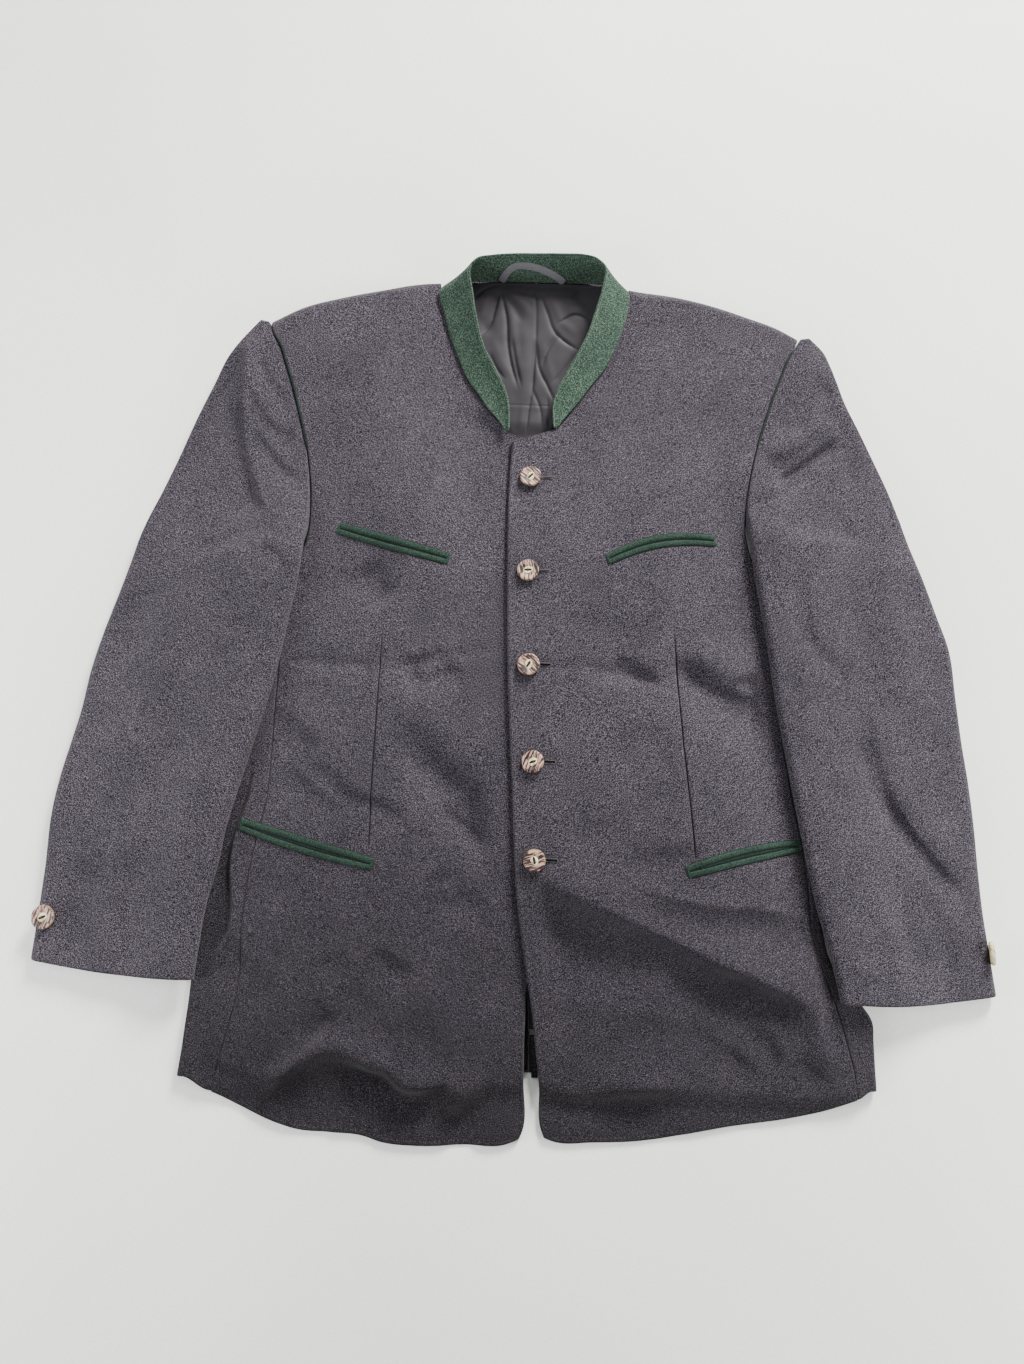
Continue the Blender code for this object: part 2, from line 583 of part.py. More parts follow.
def make_sleeve(side, stations):
    """Make the top sleeve and the under sleeve, two shells that meet at the tube's folds."""
    part = "sleeve_" + side
    shares = np.array([0.10, 0.22, 0.34, 0.46, 0.60, 0.75, 0.88])
    under = [0, 1, 2, 4, 5, 6, 7, 9, 10, 11, 12]
    grids = {"top_out": [], "top_in": [], "under_out": [], "under_in": []}
    for k, s in enumerate(stations):
        width = float(np.hypot(s.outer_x - s.inner_x, s.outer_y - s.inner_y))
        small = min(1.0, width / 26.0)
        overlap = abs(s.edge_x - s.inner_x) if s.edge_x and abs(s.edge_x) > abs(s.inner_x) else 0.0
        start, stop = 6.0 * small, width - 6.0 * small
        if s.lift:
            first = max(start + 4.0, overlap + 5.0)
            third = SLEEVE_RAMP / 3
            ramp = np.array([(start + first) / 2, first, first + third, first + 2 * third, first + 3 * third])
            middle = np.concatenate([ramp, ramp[-1] + (stop - ramp[-1]) * np.array([0.35, 0.7])])
        else:
            middle = start + (stop - start) * shares
        armhole = k <= LAST_UNLIFTED
        ends = np.array([0.0, 0.9, 3.6]) * small
        across = np.concatenate([ends, middle, width - ends[::-1]])
        base = tube_floor(s, across)
        x, y = sleeve_plan(s, across)
        rise = CUFF_LIFT * (1.0 - s.lift) * smooth((UNDERARM_RISE - s.inner_y) / 100.0)
        top = base + sleeve_top(part, s, x, y, across, width, armhole) + rise * (1.0 - smooth(across / 120.0))
        thick = top - base
        top_out = top.copy()
        top_out[[0, -1]] = base[[0, -1]] + 4.8 + SEAM / 2
        top_out[[1, -2]] = base[[1, -2]] + thick[[1, -2]] - 2.3
        top_out[[2, -3]] = base[[2, -3]] + thick[[2, -3]] - 0.4
        under_out = base.copy()
        under_out[[0, -1]] = base[[0, -1]] + 4.8 - SEAM / 2
        under_out[[1, -2]] = base[[1, -2]] + 1.6
        inset = np.array([3.0, 3.6, 5.2]) * small
        within = np.concatenate([inset, middle, width - inset[::-1]])
        low = tube_floor(s, within)
        xi, yi = sleeve_plan(s, within)
        top_in = low + INSIDE + rise * (1.0 - smooth(within / 120.0))
        top_in[[0, -1]] = low[[0, -1]] + 4.8 + SEAM / 2
        top_in[[1, -2]] = low[[1, -2]] + 6.0
        under_in = low + WALL
        under_in[[0, -1]] = low[[0, -1]] + 4.8 - SEAM / 2
        under_in[[1, -2]] = low[[1, -2]] + 3.5
        grids["top_out"].append(np.stack([x, y, top_out], axis=1))
        grids["top_in"].append(np.stack([xi, yi, top_in], axis=1))
        grids["under_out"].append(np.stack([x, y, under_out], axis=1)[under])
        grids["under_in"].append(np.stack([xi, yi, under_in], axis=1)[under])
    for key in grids:
        grids[key] = np.array(grids[key])
        last = grids[key][-1]
        share = (last[:, 0] - stations[-1].inner_x) / (stations[-1].outer_x - stations[-1].inner_x)
        last[:, 1] -= 4.0 * np.sin(np.pi * np.clip(share, 0, 1))
    wall("top_sleeve_" + side, grids["top_out"], grids["top_in"], LODEN)
    wall("under_sleeve_" + side, grids["under_out"], grids["under_in"], LODEN)


def band_faces():
    """Return the collar's seam line, its free edge and the way across its thickness."""
    seam = np.array([(r.seam_x, r.seam_y, r.seam_z) for r in COLLAR], float)
    edge = np.array([(r.top_x, r.top_y, r.top_z) for r in COLLAR], float)
    along = np.gradient(seam + edge, axis=0)
    across = edge - seam
    across[0] = across[1]
    across[-1] = across[-2]
    normal = np.cross(along, across)
    normal /= np.linalg.norm(normal, axis=1)[:, None]
    return seam, edge, normal


def make_collar():
    """Make the standing collar as one band, lifted from its seam to its free edge."""
    seam, edge, normal = band_faces()
    shares = np.array([0.0, 0.3, 0.65, 1.0])
    face = seam[:, None, :] * (1 - shares[None, :, None]) + edge[:, None, :] * shares[None, :, None]
    swell = BAND_SWELL * np.sin(np.pi * shares)[None, :, None] * normal[:, None, :]
    inside = face + swell
    outside = inside - COLLAR_THICK * normal[:, None, :]
    return wall("collar", outside, inside, GREEN)


def make_loop():
    """Make the hanger loop, a tape that lies along the inner face of the back collar."""
    seam, edge, normal = band_faces()
    centres, ups, outs = [], [], []
    for row in LOOP_ROWS:
        mid = slice(8, 15)
        xs = seam[mid, 0] * (1 - row.y) + edge[mid, 0] * row.y
        parts = [np.interp(row.x, xs, line[mid, axis]) for line in (seam, edge, normal) for axis in range(3)]
        low, high, out = np.array(parts[0:3]), np.array(parts[3:6]), np.array(parts[6:9])
        up = (high - low) / np.linalg.norm(high - low)
        swell = BAND_SWELL * max(np.sin(np.pi * np.clip(row.y + d, 0, 1)) for d in (-0.13, 0.0, 0.13))
        centres.append(low * (1 - row.y) + high * row.y + out * (swell + 0.36))
        ups.append(up)
        outs.append(out)
    centres, ups, outs = np.array(centres), np.array(ups), np.array(outs)
    run = np.gradient(centres, axis=0)
    run /= np.linalg.norm(run, axis=1)[:, None]
    side = np.cross(outs, run)
    side /= np.linalg.norm(side, axis=1)[:, None]
    shares = np.array([-0.5, 0.0, 0.5]) * LOOP_WIDTH
    near = centres[:, None, :] + side[:, None, :] * shares[None, :, None]
    far = near + outs[:, None, :] * LOOP_THICK
    return wall("hanger_loop", far, near, TAPE)


def make_linings():
    """Make the two parts of the back lining that the openings of the jacket show."""
    ys = np.linspace(232, 394, 9)
    shares = np.linspace(0, 1, 9)
    upper, lower = [], []
    for y in ys:
        left = np.interp(y, [232, 264, 324, 394], [-40, -60, -88, -74])
        right = np.interp(y, [232, 264, 324, 394], [46, 64, 92, 80])
        x = left + (right - left) * shares
        edge = np.minimum(shares, 1 - shares)
        inside = smooth((y - 262.0) / 26.0)
        crease = 0.55 * np.sin((x - 5) / 7.0 + (y - 300) / 60.0) * smooth(edge / 0.15) * inside
        line = y + (2.8 - 3.4 * smooth((np.abs(x - 5.0) - 25.0) / 30.0)) * ((y - 232.0) / 162.0) ** 6
        upper.append([(a, b, WALL + SEAM + 0.7 + 1.1 * inside + c) for a, b, c in zip(x, line, crease)])
        lower.append([(a, b, WALL + SEAM) for a, b in zip(x, line)])
    wall("lining_neck", np.array(upper), np.array(lower), SATIN)
    corners = [(-14.0, -350.0), (15.8, -350.0), (-14.0, -262.0), (13.6, -262.0)]
    grid = np.array(corners).reshape(2, 2, 2)
    low = np.dstack([grid, np.full((2, 2), WALL + SEAM)])
    high = np.dstack([grid, np.full((2, 2), WALL + SEAM + 0.8)])
    wall("lining_skirt", high, low, DARK_SATIN)


def tree_of(*names):
    """Return one search tree of the surfaces of the named pieces, in millimetres."""
    points, faces = [], []
    for name in names:
        mesh = bpy.data.objects[name].data
        start = len(points)
        points += [v.co / MM for v in mesh.vertices]
        faces += [[start + i for i in p.vertices] for p in mesh.polygons]
    return BVHTree.FromPolygons(points, faces)


def height_on(tree, x, y, around=2.2):
    """Return the highest point of the cloth close to a place."""
    best = 0.0
    for dx in (-around, 0.0, around):
        for dy in (-around, 0.0, around):
            hit = tree.ray_cast(Vector((x + dx, y + dy, 80.0)), Vector((0, 0, -1)))
            if hit[0] is not None:
                best = max(best, hit[0].z)
    return best


def strip_on(name, tree, line, width, thick, finish, gap=SEAM):
    """Lay a narrow strip of cloth along a line on the pieces in a tree."""
    run = np.gradient(line, axis=0)
    run /= np.linalg.norm(run, axis=1)[:, None]
    side = np.stack([-run[:, 1], run[:, 0]], axis=1)
    shares = np.array([-0.5, 0.5])
    plan = line[:, None, :] + side[:, None, :] * (shares * width)[None, :, None]
    z = np.array([[height_on(tree, *point) + gap for point in row] for row in plan])
    low = np.dstack([plan, z])
    high = np.dstack([plan, z + thick])
    middle_low = (low[:, :1] + low[:, 1:]) / 2
    middle_low[..., 2] = np.maximum(low[:, :1, 2], low[:, 1:, 2])
    middle_high = middle_low.copy()
    middle_high[..., 2] += thick + 0.35
    low = np.concatenate([low[:, :1], middle_low, low[:, 1:]], axis=1)
    high = np.concatenate([high[:, :1], middle_high, high[:, 1:]], axis=1)
    return wall(name, high, low, finish)


def jets_on(name, tree, line, normal, open_by):
    """Lay the two lips of a jetted pocket round its slit, joined where they end."""
    plan = []
    run = (line[-1] - line[0]) / np.linalg.norm(line[-1] - line[0])
    for sign in (1, -1):
        for k in range(len(line))[::sign]:
            end = (k == len(line) - 1) - (k == 0)
            inner = line[k] + sign * normal * open_by[k] / 2
            outer = inner + sign * normal * LIP_WIDTH + run * end * 2.6
            plan.append([outer, (inner + outer) / 2, inner])
    plan = np.array(plan)
    z = np.array([[height_on(tree, *point) + SEAM for point in row] for row in plan])
    low = np.dstack([plan, z])
    high = np.dstack([plan, z + np.array([LIP_THICK, LIP_THICK + 0.4, LIP_THICK])])
    return wall(name, high, low, GREEN, ring=True)


def make_pockets():
    """Lay the lips of each jetted pocket, and the facing that an open pocket shows."""
    for lip in LIPS:
        sign = 1 if lip.side == "front_left" else -1
        panel = "side_panel_left" if sign > 0 else "side_panel_right"
        tree = tree_of(lip.side, panel)
        share = np.linspace(0, 1, 10)
        ax, ay = lip.x2 - lip.x1, lip.y2 - lip.y1
        length = np.hypot(ax, ay)
        normal = np.array([-ay, ax]) / length
        line = np.stack([lip.x1 + ax * share, lip.y1 + ay * share], axis=1)
        bow = lip.bow * (1 - (2 * share - 1) ** 2)
        line = line + normal[None, :] * bow[:, None]
        open_by = lip.spread * np.sin(np.pi * share) ** 0.7 + 0.5
        jets_on(lip.name, tree, line, normal, open_by)
        if lip.spread > 2:
            strip_on(lip.name.replace("lips", "facing"), tree, line[2:8], 1.6, 0.35, DARK_GREEN)


def make_piping():
    """Lay the piping of the upper armhole seams beside the sleeve heads."""
    for side, sleeve, sign in (("right", RIGHT_SLEEVE, -1), ("left", LEFT_SLEEVE, 1)):
        tree = tree_of("front_" + side, "top_sleeve_" + side)
        rows = [Point(s.inner_x - sign * 0.6, s.inner_y) for s in sleeve[1:7]]
        strip_on("piping_" + side, tree, curve(rows, count=11), 2.8, 1.2, DARK_GREEN)


def make_button(name, centre, radius, thick, tilt, finish):
    """Turn a button from its profile, a disc with a rounded rim and a dished middle."""
    profile = [
        (0.20, 0.72), (0.34, 0.94), (0.80, 1.0), (1.0, 0.62), (0.94, 0.15), (0.70, 0.0),
    ]
    steps = 14
    up = np.array(tilt, float)
    up /= np.linalg.norm(up)
    one = np.cross(up, (0.31, 0.95, 0.05))
    one /= np.linalg.norm(one)
    two = np.cross(up, one)
    points = []
    for share, height in profile:
        for k in range(steps):
            angle = 2 * np.pi * k / steps
            radial = one * np.cos(angle) + two * np.sin(angle)
            points.append(np.array(centre) + radial * share * radius + up * height * thick)
    points.append(np.array(centre) + up * 0.66 * thick)
    points.append(np.array(centre))
    top, low = len(points) - 2, len(points) - 1
    faces = []
    for ring in range(len(profile) - 1):
        for k in range(steps):
            a, b = ring * steps + k, ring * steps + (k + 1) % steps
            faces.append((a, b, b + steps))
            faces.append((a, b + steps, a + steps))
    last = (len(profile) - 1) * steps
    for k in range(steps):
        faces.append((top, (k + 1) % steps, k))
        faces.append((low, last + k, last + (k + 1) % steps))
    return solid(name, np.array(points) * MM, faces, finish)


def seat(button, upper, under, lean):
    """Move a button along its axis until it is one seam's gap from the sleeve."""
    tree = tree_of(upper, under)
    way = Vector(lean).normalized()
    middle = button.data.vertices[-1].co / MM
    cloth = []
    for name in (upper, under):
        mesh = bpy.data.objects[name].data
        for edge in mesh.edges:
            ends = [mesh.vertices[i].co / MM for i in edge.vertices]
            if (ends[0] - middle).length < 60.0:
                cloth += [ends[0].lerp(ends[1], share) for share in np.linspace(0.0, 1.0, 13)]
    for _ in range(12):
        disc = tree_of(button.name)
        near = min(tree.find_nearest(v.co / MM)[3] for v in button.data.vertices)
        near = min([near] + [disc.find_nearest(place)[3] for place in cloth])
        for v in button.data.vertices:
            v.co -= way * (near - SEAM) * MM * 0.9


def make_buttons():
    """Set the front buttons on the left front and one button on each cuff."""
    tree = tree_of("front_left")
    for k, place in enumerate(FRONT_BUTTONS, 1):
        around = [height_on(tree, place.x + dx, place.y + dy, 0.5) for dx in (-8, 0, 8) for dy in (-8, 0, 8)]
        lean_x, lean_y = (around[0] - around[6]) / 16.0, (around[0] - around[2]) / 16.0
        z = 0.0
        for dx in np.linspace(-BUTTON_RADIUS, BUTTON_RADIUS, 11):
            for dy in np.linspace(-BUTTON_RADIUS, BUTTON_RADIUS, 11):
                if np.hypot(dx, dy) <= BUTTON_RADIUS * 0.98:
                    rim = 0.3 if np.hypot(dx, dy) > BUTTON_RADIUS * 0.75 else 0.0
                    cloth = height_on(tree, place.x + dx, place.y + dy, 0.4)
                    z = max(z, cloth + dx * lean_x + dy * lean_y - rim)
        lean = (lean_x, lean_y, 1.0)
        make_button(f"button_{k}", (place.x, place.y, z + SEAM), BUTTON_RADIUS, BUTTON_THICK, lean, HORN)
    for side, place, lean in (
        ("right", (-425.4, -228.4, 16.0), (-0.10, 0.02, 1.0)),
        ("left", (438.4, -234.9, 16.0), (0.80, 0.20, 0.57)),
    ):
        name = "cuff_button_" + side
        button = make_button(name, place, CUFF_BUTTON_RADIUS, 4.0, lean, HORN)
        seat(button, "top_sleeve_" + side, "under_sleeve_" + side, lean)


def main():
    """Clear the scene and make every piece of the jacket."""
    for old in list(bpy.data.objects):
        bpy.data.objects.remove(old, do_unlink=True)
    make_back("back_right", RIGHT_SIDE, RIGHT_SLEEVE, RIGHT_SHOULDER, -1)
    make_back("back_left", LEFT_SIDE, LEFT_SLEEVE, LEFT_SHOULDER, 1)
    make_side_panel("side_panel_right", RIGHT_SIDE, -1)
    make_side_panel("side_panel_left", LEFT_SIDE, 1)
    make_front(
        "front_right", RIGHT_SIDE, RIGHT_SLEEVE, UNDERARM_RIGHT, RIGHT_FRONT_EDGE, RIGHT_NECK,
        RIGHT_SHOULDER, RIGHT_HEM, -1,
    )
    make_front(
        "front_left", LEFT_SIDE, LEFT_SLEEVE, UNDERARM_LEFT, LEFT_FRONT_EDGE, LEFT_NECK,
        LEFT_SHOULDER, LEFT_HEM, 1,
    )
    make_sleeve("right", RIGHT_SLEEVE)
    make_sleeve("left", LEFT_SLEEVE)
    make_collar()
    make_loop()
    make_linings()
    make_pockets()
    make_piping()
    make_buttons()


main()
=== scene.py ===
"""The looks of a tyrolean loden jacket, buttoned and laid flat on its back.

The tables are millimetres: X runs to the wearer's left, Y to the collar, Z up from the floor. Each sewn
piece is a closed wall on the form of its solid, with its creases, seams and stitches.
"""

import logging
import math
from dataclasses import dataclass, field, replace
from enum import Enum
from typing import NamedTuple, Optional, Sequence

import bpy
import numpy as np
from mathutils import Euler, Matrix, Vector
from mathutils.bvhtree import BVHTree


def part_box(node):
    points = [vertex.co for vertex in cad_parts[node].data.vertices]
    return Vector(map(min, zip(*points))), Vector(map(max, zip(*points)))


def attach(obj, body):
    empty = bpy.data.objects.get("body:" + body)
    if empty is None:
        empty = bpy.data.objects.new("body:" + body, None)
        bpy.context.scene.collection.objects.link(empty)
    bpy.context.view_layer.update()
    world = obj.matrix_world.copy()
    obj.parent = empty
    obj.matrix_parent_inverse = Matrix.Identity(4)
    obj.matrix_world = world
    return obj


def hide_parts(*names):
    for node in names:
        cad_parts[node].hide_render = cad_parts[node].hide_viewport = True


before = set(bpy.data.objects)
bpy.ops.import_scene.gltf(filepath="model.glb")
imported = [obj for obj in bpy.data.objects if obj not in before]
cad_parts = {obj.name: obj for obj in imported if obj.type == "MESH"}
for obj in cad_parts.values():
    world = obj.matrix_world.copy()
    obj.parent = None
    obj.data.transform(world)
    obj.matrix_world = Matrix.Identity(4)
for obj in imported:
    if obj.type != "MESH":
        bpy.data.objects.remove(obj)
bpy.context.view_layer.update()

logging.basicConfig(level=logging.INFO, format="%(message)s")
LOG = logging.getLogger("jacket")

Colour = tuple[float, float, float]
Piece = bpy.types.Object
Material = bpy.types.Material
Socket = bpy.types.NodeSocket

MM = 0.001
ROOT = "root"
CLOTH = "_cloth"
WALL = 3.0          # cloth and lining together, in a panel
SEAM = 0.32         # clear space between two pieces at a seam
INSIDE = 6.5        # height of the plain inner face of the fronts
EDGE_HEIGHT = 9.2   # height of the body at its side folds
TUBE = 9.6          # height of a flattened sleeve
CUFF_LIFT = 10.3    # how far a sleeve is raised where it lies on the body
SLEEVE_RAMP = 72.0      # how far a sleeve takes to come down from the body to the floor
UNDERARM_RISE = 215.0   # where the top of a sleeve begins to rise toward its lifted stretch
LOFT = 15.0         # how far the middle of the body stands above its edges
HEM_FALL = 6.1      # how far the fronts come down past the hem of the back
NECK_EDGE = 10.4    # height of the fronts along the collar seam
LAP_UNDER = 6.6     # height of the right front where the left front lies on it
LAP_OVER = 11.3     # height of the left front there
THINNEST = 1.1      # least thickness of a front where a crease comes down


class Side(Enum):
    """A side of the wearer; its value is the sign of X."""

    RIGHT = -1
    LEFT = 1

    @property
    def word(self) -> str:
        """Return the side's name in lower case."""
        return self.name.lower()


class Crest(Enum):
    """How the cross section of a crease falls away from its middle."""

    SOFT = "soft"
    SHARP = "sharp"
    STEP = "step"


SOFT, SHARP, STEP = Crest


class Point(NamedTuple):
    """A place on the floor plan."""

    x: float
    y: float


class SideRow(NamedTuple):
    """One place down the body's side: its fold, its panel's seam and the tuck that drops to a ledge."""

    edge_x: float
    edge_y: float
    seam_x: float
    seam_y: float
    tuck_in: float
    tuck: float


class Station(NamedTuple):
    """One section of a sleeve, from its inner to its outer fold, and the body's edge under it."""

    inner_x: float
    inner_y: float
    outer_x: float
    outer_y: float
    lift: float
    edge_x: float


class BandRow(NamedTuple):
    """One place round the collar: its seam and its free edge."""

    seam_x: float
    seam_y: float
    seam_z: float
    top_x: float
    top_y: float
    top_z: float


class Fold(NamedTuple):
    """A large fold on a straight or bowed line, as the solids have it."""

    part: str
    x1: float
    y1: float
    x2: float
    y2: float
    bow: float
    height: float
    above: float
    below: float


class Crease(NamedTuple):
    """A small crease along a line of places; a height below 0 is a trough."""

    height: float
    left: float
    right: float
    crest: Crest
    line: tuple[tuple[float, float], ...]


class Cut(NamedTuple):
    """The cut of one piece of cloth, what it lies on and what is sewn to it.

    Its width and length are in millimetres and its area is in square centimetres.
    """

    name: str
    width: float
    length: float
    area: float
    on: tuple[str, ...]
    sewn: tuple[str, ...] = ()


class Lip(NamedTuple):
    """A jetted pocket: the middle of its slit, its bow and how far its lips stand apart."""

    name: str
    side: Side
    x1: float
    y1: float
    x2: float
    y2: float
    bow: float
    spread: float


def table(kind: type, *rows: tuple) -> list:
    """Return a table's rows as named tuples of one kind."""
    return [kind(*row) for row in rows]


# The body's side fold and the seam of its side panel, from the hem up to the underarm.
RIGHT_SIDE = table(
    SideRow,
    (-297, -364, -266, -376, 18, 0),
    (-295, -345, -260, -350, 20, 0),
    (-293, -321, -254, -325, 24, 0),
    (-291, -296, -248, -297, 28, 0.15),
    (-290, -277, -246, -278, 29, 0.35),
    (-289, -257, -245.5, -258, 22, 0.8),
    (-288, -239, -246, -240, 12, 1),
    (-287, -215, -245, -214, 10.5, 1),
    (-285, -178, -241, -175, 19, 1),
    (-280, -143, -235, -143, 20, 1),
    (-272, -118, -230, -118, 17, 0.8),
    (-263, -98, -229, -98, 15, 0.3),
    (-256, -66, -229, -66, 14, 0),
    (-252, -25, -228, -25, 13, 0),
    (-249, 32, -226, 32, 13, 0),
    (-250, 75, -224, 75, 13, 0),
    (-250, 104, -222, 104, 13, 0),
)
LEFT_SIDE = table(
    SideRow,
    (327, -360, 309, -367, 5, 0),
    (326, -340, 306, -344, 6, 0),
    (325, -318, 300, -320, 8, 0),
    (324, -300, 295, -301, 9.6, 0),
    (314, -285, 290, -285, 7.6, 0),
    (300, -268, 283, -268, 4.8, 0),
    (287, -248, 276, -248, 2.6, 0),
    (281, -225, 270, -225, 2.6, 0),
    (279, -195, 268, -195, 2.6, 0),
    (275, -160, 264, -160, 2.6, 0),
    (270, -125, 258, -125, 2.9, 0),
    (264, -90, 251, -90, 3.2, 0),
    (260, -50, 245, -50, 4, 0),
    (257, -6, 240, -6, 4.8, 0),
    (255, 38, 234, 38, 6.4, 0),
    (255, 75, 228, 75, 8.8, 0),
    (255, 108, 222, 108, 11, 0),
)
UNDERARM_RIGHT = Point(-214, 113)
UNDERARM_LEFT = Point(217, 121)
BACK_SEAM_IN = 45.0  # from the side fold to the seam between side panel and back

# The sleeves, from the head of the sleeve to the cuff. The inner points follow the armhole
# seam down to the underarm and the sleeve's fold below it.
RIGHT_SLEEVE = table(
    Station,
    (-254, 344, -261, 346, 0, 0),
    (-249, 332, -275, 332, 0, 0),
    (-242, 321, -290, 312, 0, 0),
    (-236, 304, -303, 281, 0, 0),
    (-230, 287, -316, 250, 0, 0),
    (-220, 252, -333, 205, 0, 0),
    (-212, 220, -347, 170, 0, 0),
    (-207, 185, -358, 145, 0, 0),
    (-206, 148, -366, 122, 0, 0),
    (-209, 123, -373, 98, 1, -251),
    (-212, 90, -380, 74, 1, -251),
    (-219, 49, -391, 38, 1, -250.5),
    (-226, 6, -401, -2, 1, -251),
    (-235, -33, -407, -40, 1, -253),
    (-244, -66, -414, -70, 1, -257),
    (-252.5, -98, -421, -100, 1, -264),
    (-264, -143, -427, -141, 1, -281),
    (-270, -180, -430, -180, 1, -286),
    (-277.5, -212, -432, -212, 1, -288),
    (-281.5, -245, -434, -240, 1, -289.5),
    (-284.5, -279, -436, -267, 1, -291.5),
)
LEFT_SLEEVE = table(
    Station,
    (263, 340, 270.5, 341.5, 0, 0),
    (256, 328, 284, 330, 0, 0),
    (250, 317, 291, 317, 0, 0),
    (244, 301, 298, 299, 0, 0),
    (239, 288, 304, 282, 0, 0),
    (230, 260, 320, 248, 0, 0),
    (222, 232, 334, 217, 0, 0),
    (215, 200, 345, 192, 0, 0),
    (211, 165, 357, 160, 0, 0),
    (213, 138, 366, 136, 1, 257),
    (217, 108, 377, 108, 1, 257),
    (223, 72, 389, 73, 1, 256),
    (229, 38, 400, 40, 1, 256),
    (235, -6, 405, -6, 1, 258),
    (241, -42, 409, -45, 1, 261),
    (248, -80, 414, -82, 1, 264),
    (256, -122, 418, -122, 1, 270),
    (264, -163, 422, -163, 1, 277),
    (272, -200, 426, -200, 1, 281),
    (283, -240, 431, -238, 1, 289),
    (288.5, -263, 433.5, -257, 1, 309),
    (293, -284, 436, -275, 1, 326),
)
LAST_UNLIFTED = 8  # the sleeve's inner points up to this one are the armhole seam

# The other sides of the front panels, from the hem up.
RIGHT_FRONT_EDGE = table(
    Point,
    (9.5, -406.5), (11.8, -401.5), (12.4, -356), (12.2, -312), (15, -272), (26, -240), (35, -200),
    (39, -166), (37, -76), (31, 14), (28, 104), (27, 195), (24, 231),
)
RIGHT_NECK = table(Point, (-20, 240), (-40, 264), (-57, 288), (-73, 324), (-84, 358), (-89, 386))
LEFT_FRONT_EDGE = table(
    Point,
    (31.5, -406), (28.8, -399), (26.2, -362), (21.8, -328), (18, -299), (13, -270), (2, -201), (-5, -103),
    (-12, 5), (-15, 97), (-16, 182), (-14, 232),
)
LEFT_NECK = table(Point, (28, 244), (44, 264), (60, 287), (75, 308), (87, 337), (94, 364), (96, 384))
# Shoulder lines from the sleeve head to the neck, and hems from the side seam to the front edge.
RIGHT_SHOULDER = table(Point, (-254, 348), (-222, 365), (-185, 376), (-145, 385), (-109, 392), (-89, 393))
LEFT_SHOULDER = table(Point, (263, 344), (243, 355), (213, 366), (181, 376.5), (150, 384), (96, 391))
RIGHT_HEM = table(
    Point,
    (-266, -377), (-237, -390), (-204, -403), (-184, -408), (-162, -409), (-131, -411), (-113, -416),
    (-78, -418.5), (-40, -416.5), (-3, -415.3), (9.5, -410.5),
)
LEFT_HEM = table(
    Point,
    (309, -368), (276, -380), (249, -386), (188, -396), (153, -403), (117, -409), (75, -411.5),
    (40, -411.6), (31.5, -408.5),
)
BACK_CENTRE = table(Point, (16.5, -353), (12, -200), (8, 100), (5, 398.4))

# The collar, from the right end over the back to the left end: its seam and its free edge.
COLLAR = table(
    BandRow,
    (-19.5, 240.5, 10.6, -17.2, 241.5, 12.5),
    (-29, 253, 10.6, -17.2, 262, 15),
    (-39.5, 265, 10.6, -21, 279, 18),
    (-48, 278, 10.6, -31, 299, 20),
    (-56.5, 289, 10.7, -41, 317, 22),
    (-72.5, 325, 10.8, -50, 345, 25),
    (-83.5, 359, 10.9, -55, 372, 27.5),
    (-87.0, 385, 10.6, -58, 398, 30),
    (-73.5, 394, 7.6, -52, 406, 31.5),
    (-48, 397, 4.6, -38, 410, 31.5),
    (-22, 398, 3.8, -18, 412.5, 31),
    (5, 398.3, 3.7, 5, 413.5, 30.5),
    (34, 398.3, 3.8, 30, 413.8, 31),
    (62, 397.5, 4.8, 51, 413, 31.5),
    (82, 393.5, 7.8, 62, 409.5, 31.5),
    (94, 386, 10.6, 69.5, 402, 30),
    (94.5, 366, 10.9, 68, 382, 27.5),
    (86.5, 338, 10.8, 61.5, 358, 25),
    (74.5, 309, 10.7, 55, 337, 22.5),
    (59.5, 288, 10.6, 44.5, 315, 20.5),
    (51.5, 276, 10.6, 36, 299, 18.5),
    (43.5, 265.5, 10.6, 28.5, 284, 16.5),
    (35, 254.5, 10.6, 23.5, 266, 14.5),
    (28.2, 245.5, 10.6, 25, 245.5, 12.5),
)
LOOP_ROWS = table(
    Point,
    (-30, 0.06), (-26, 0.30), (-21, 0.50), (-15, 0.61), (-7, 0.63), (3, 0.58), (13, 0.46), (24, 0.28),
    (33, 0.06),
)
LOOP_WIDTH = 7.2

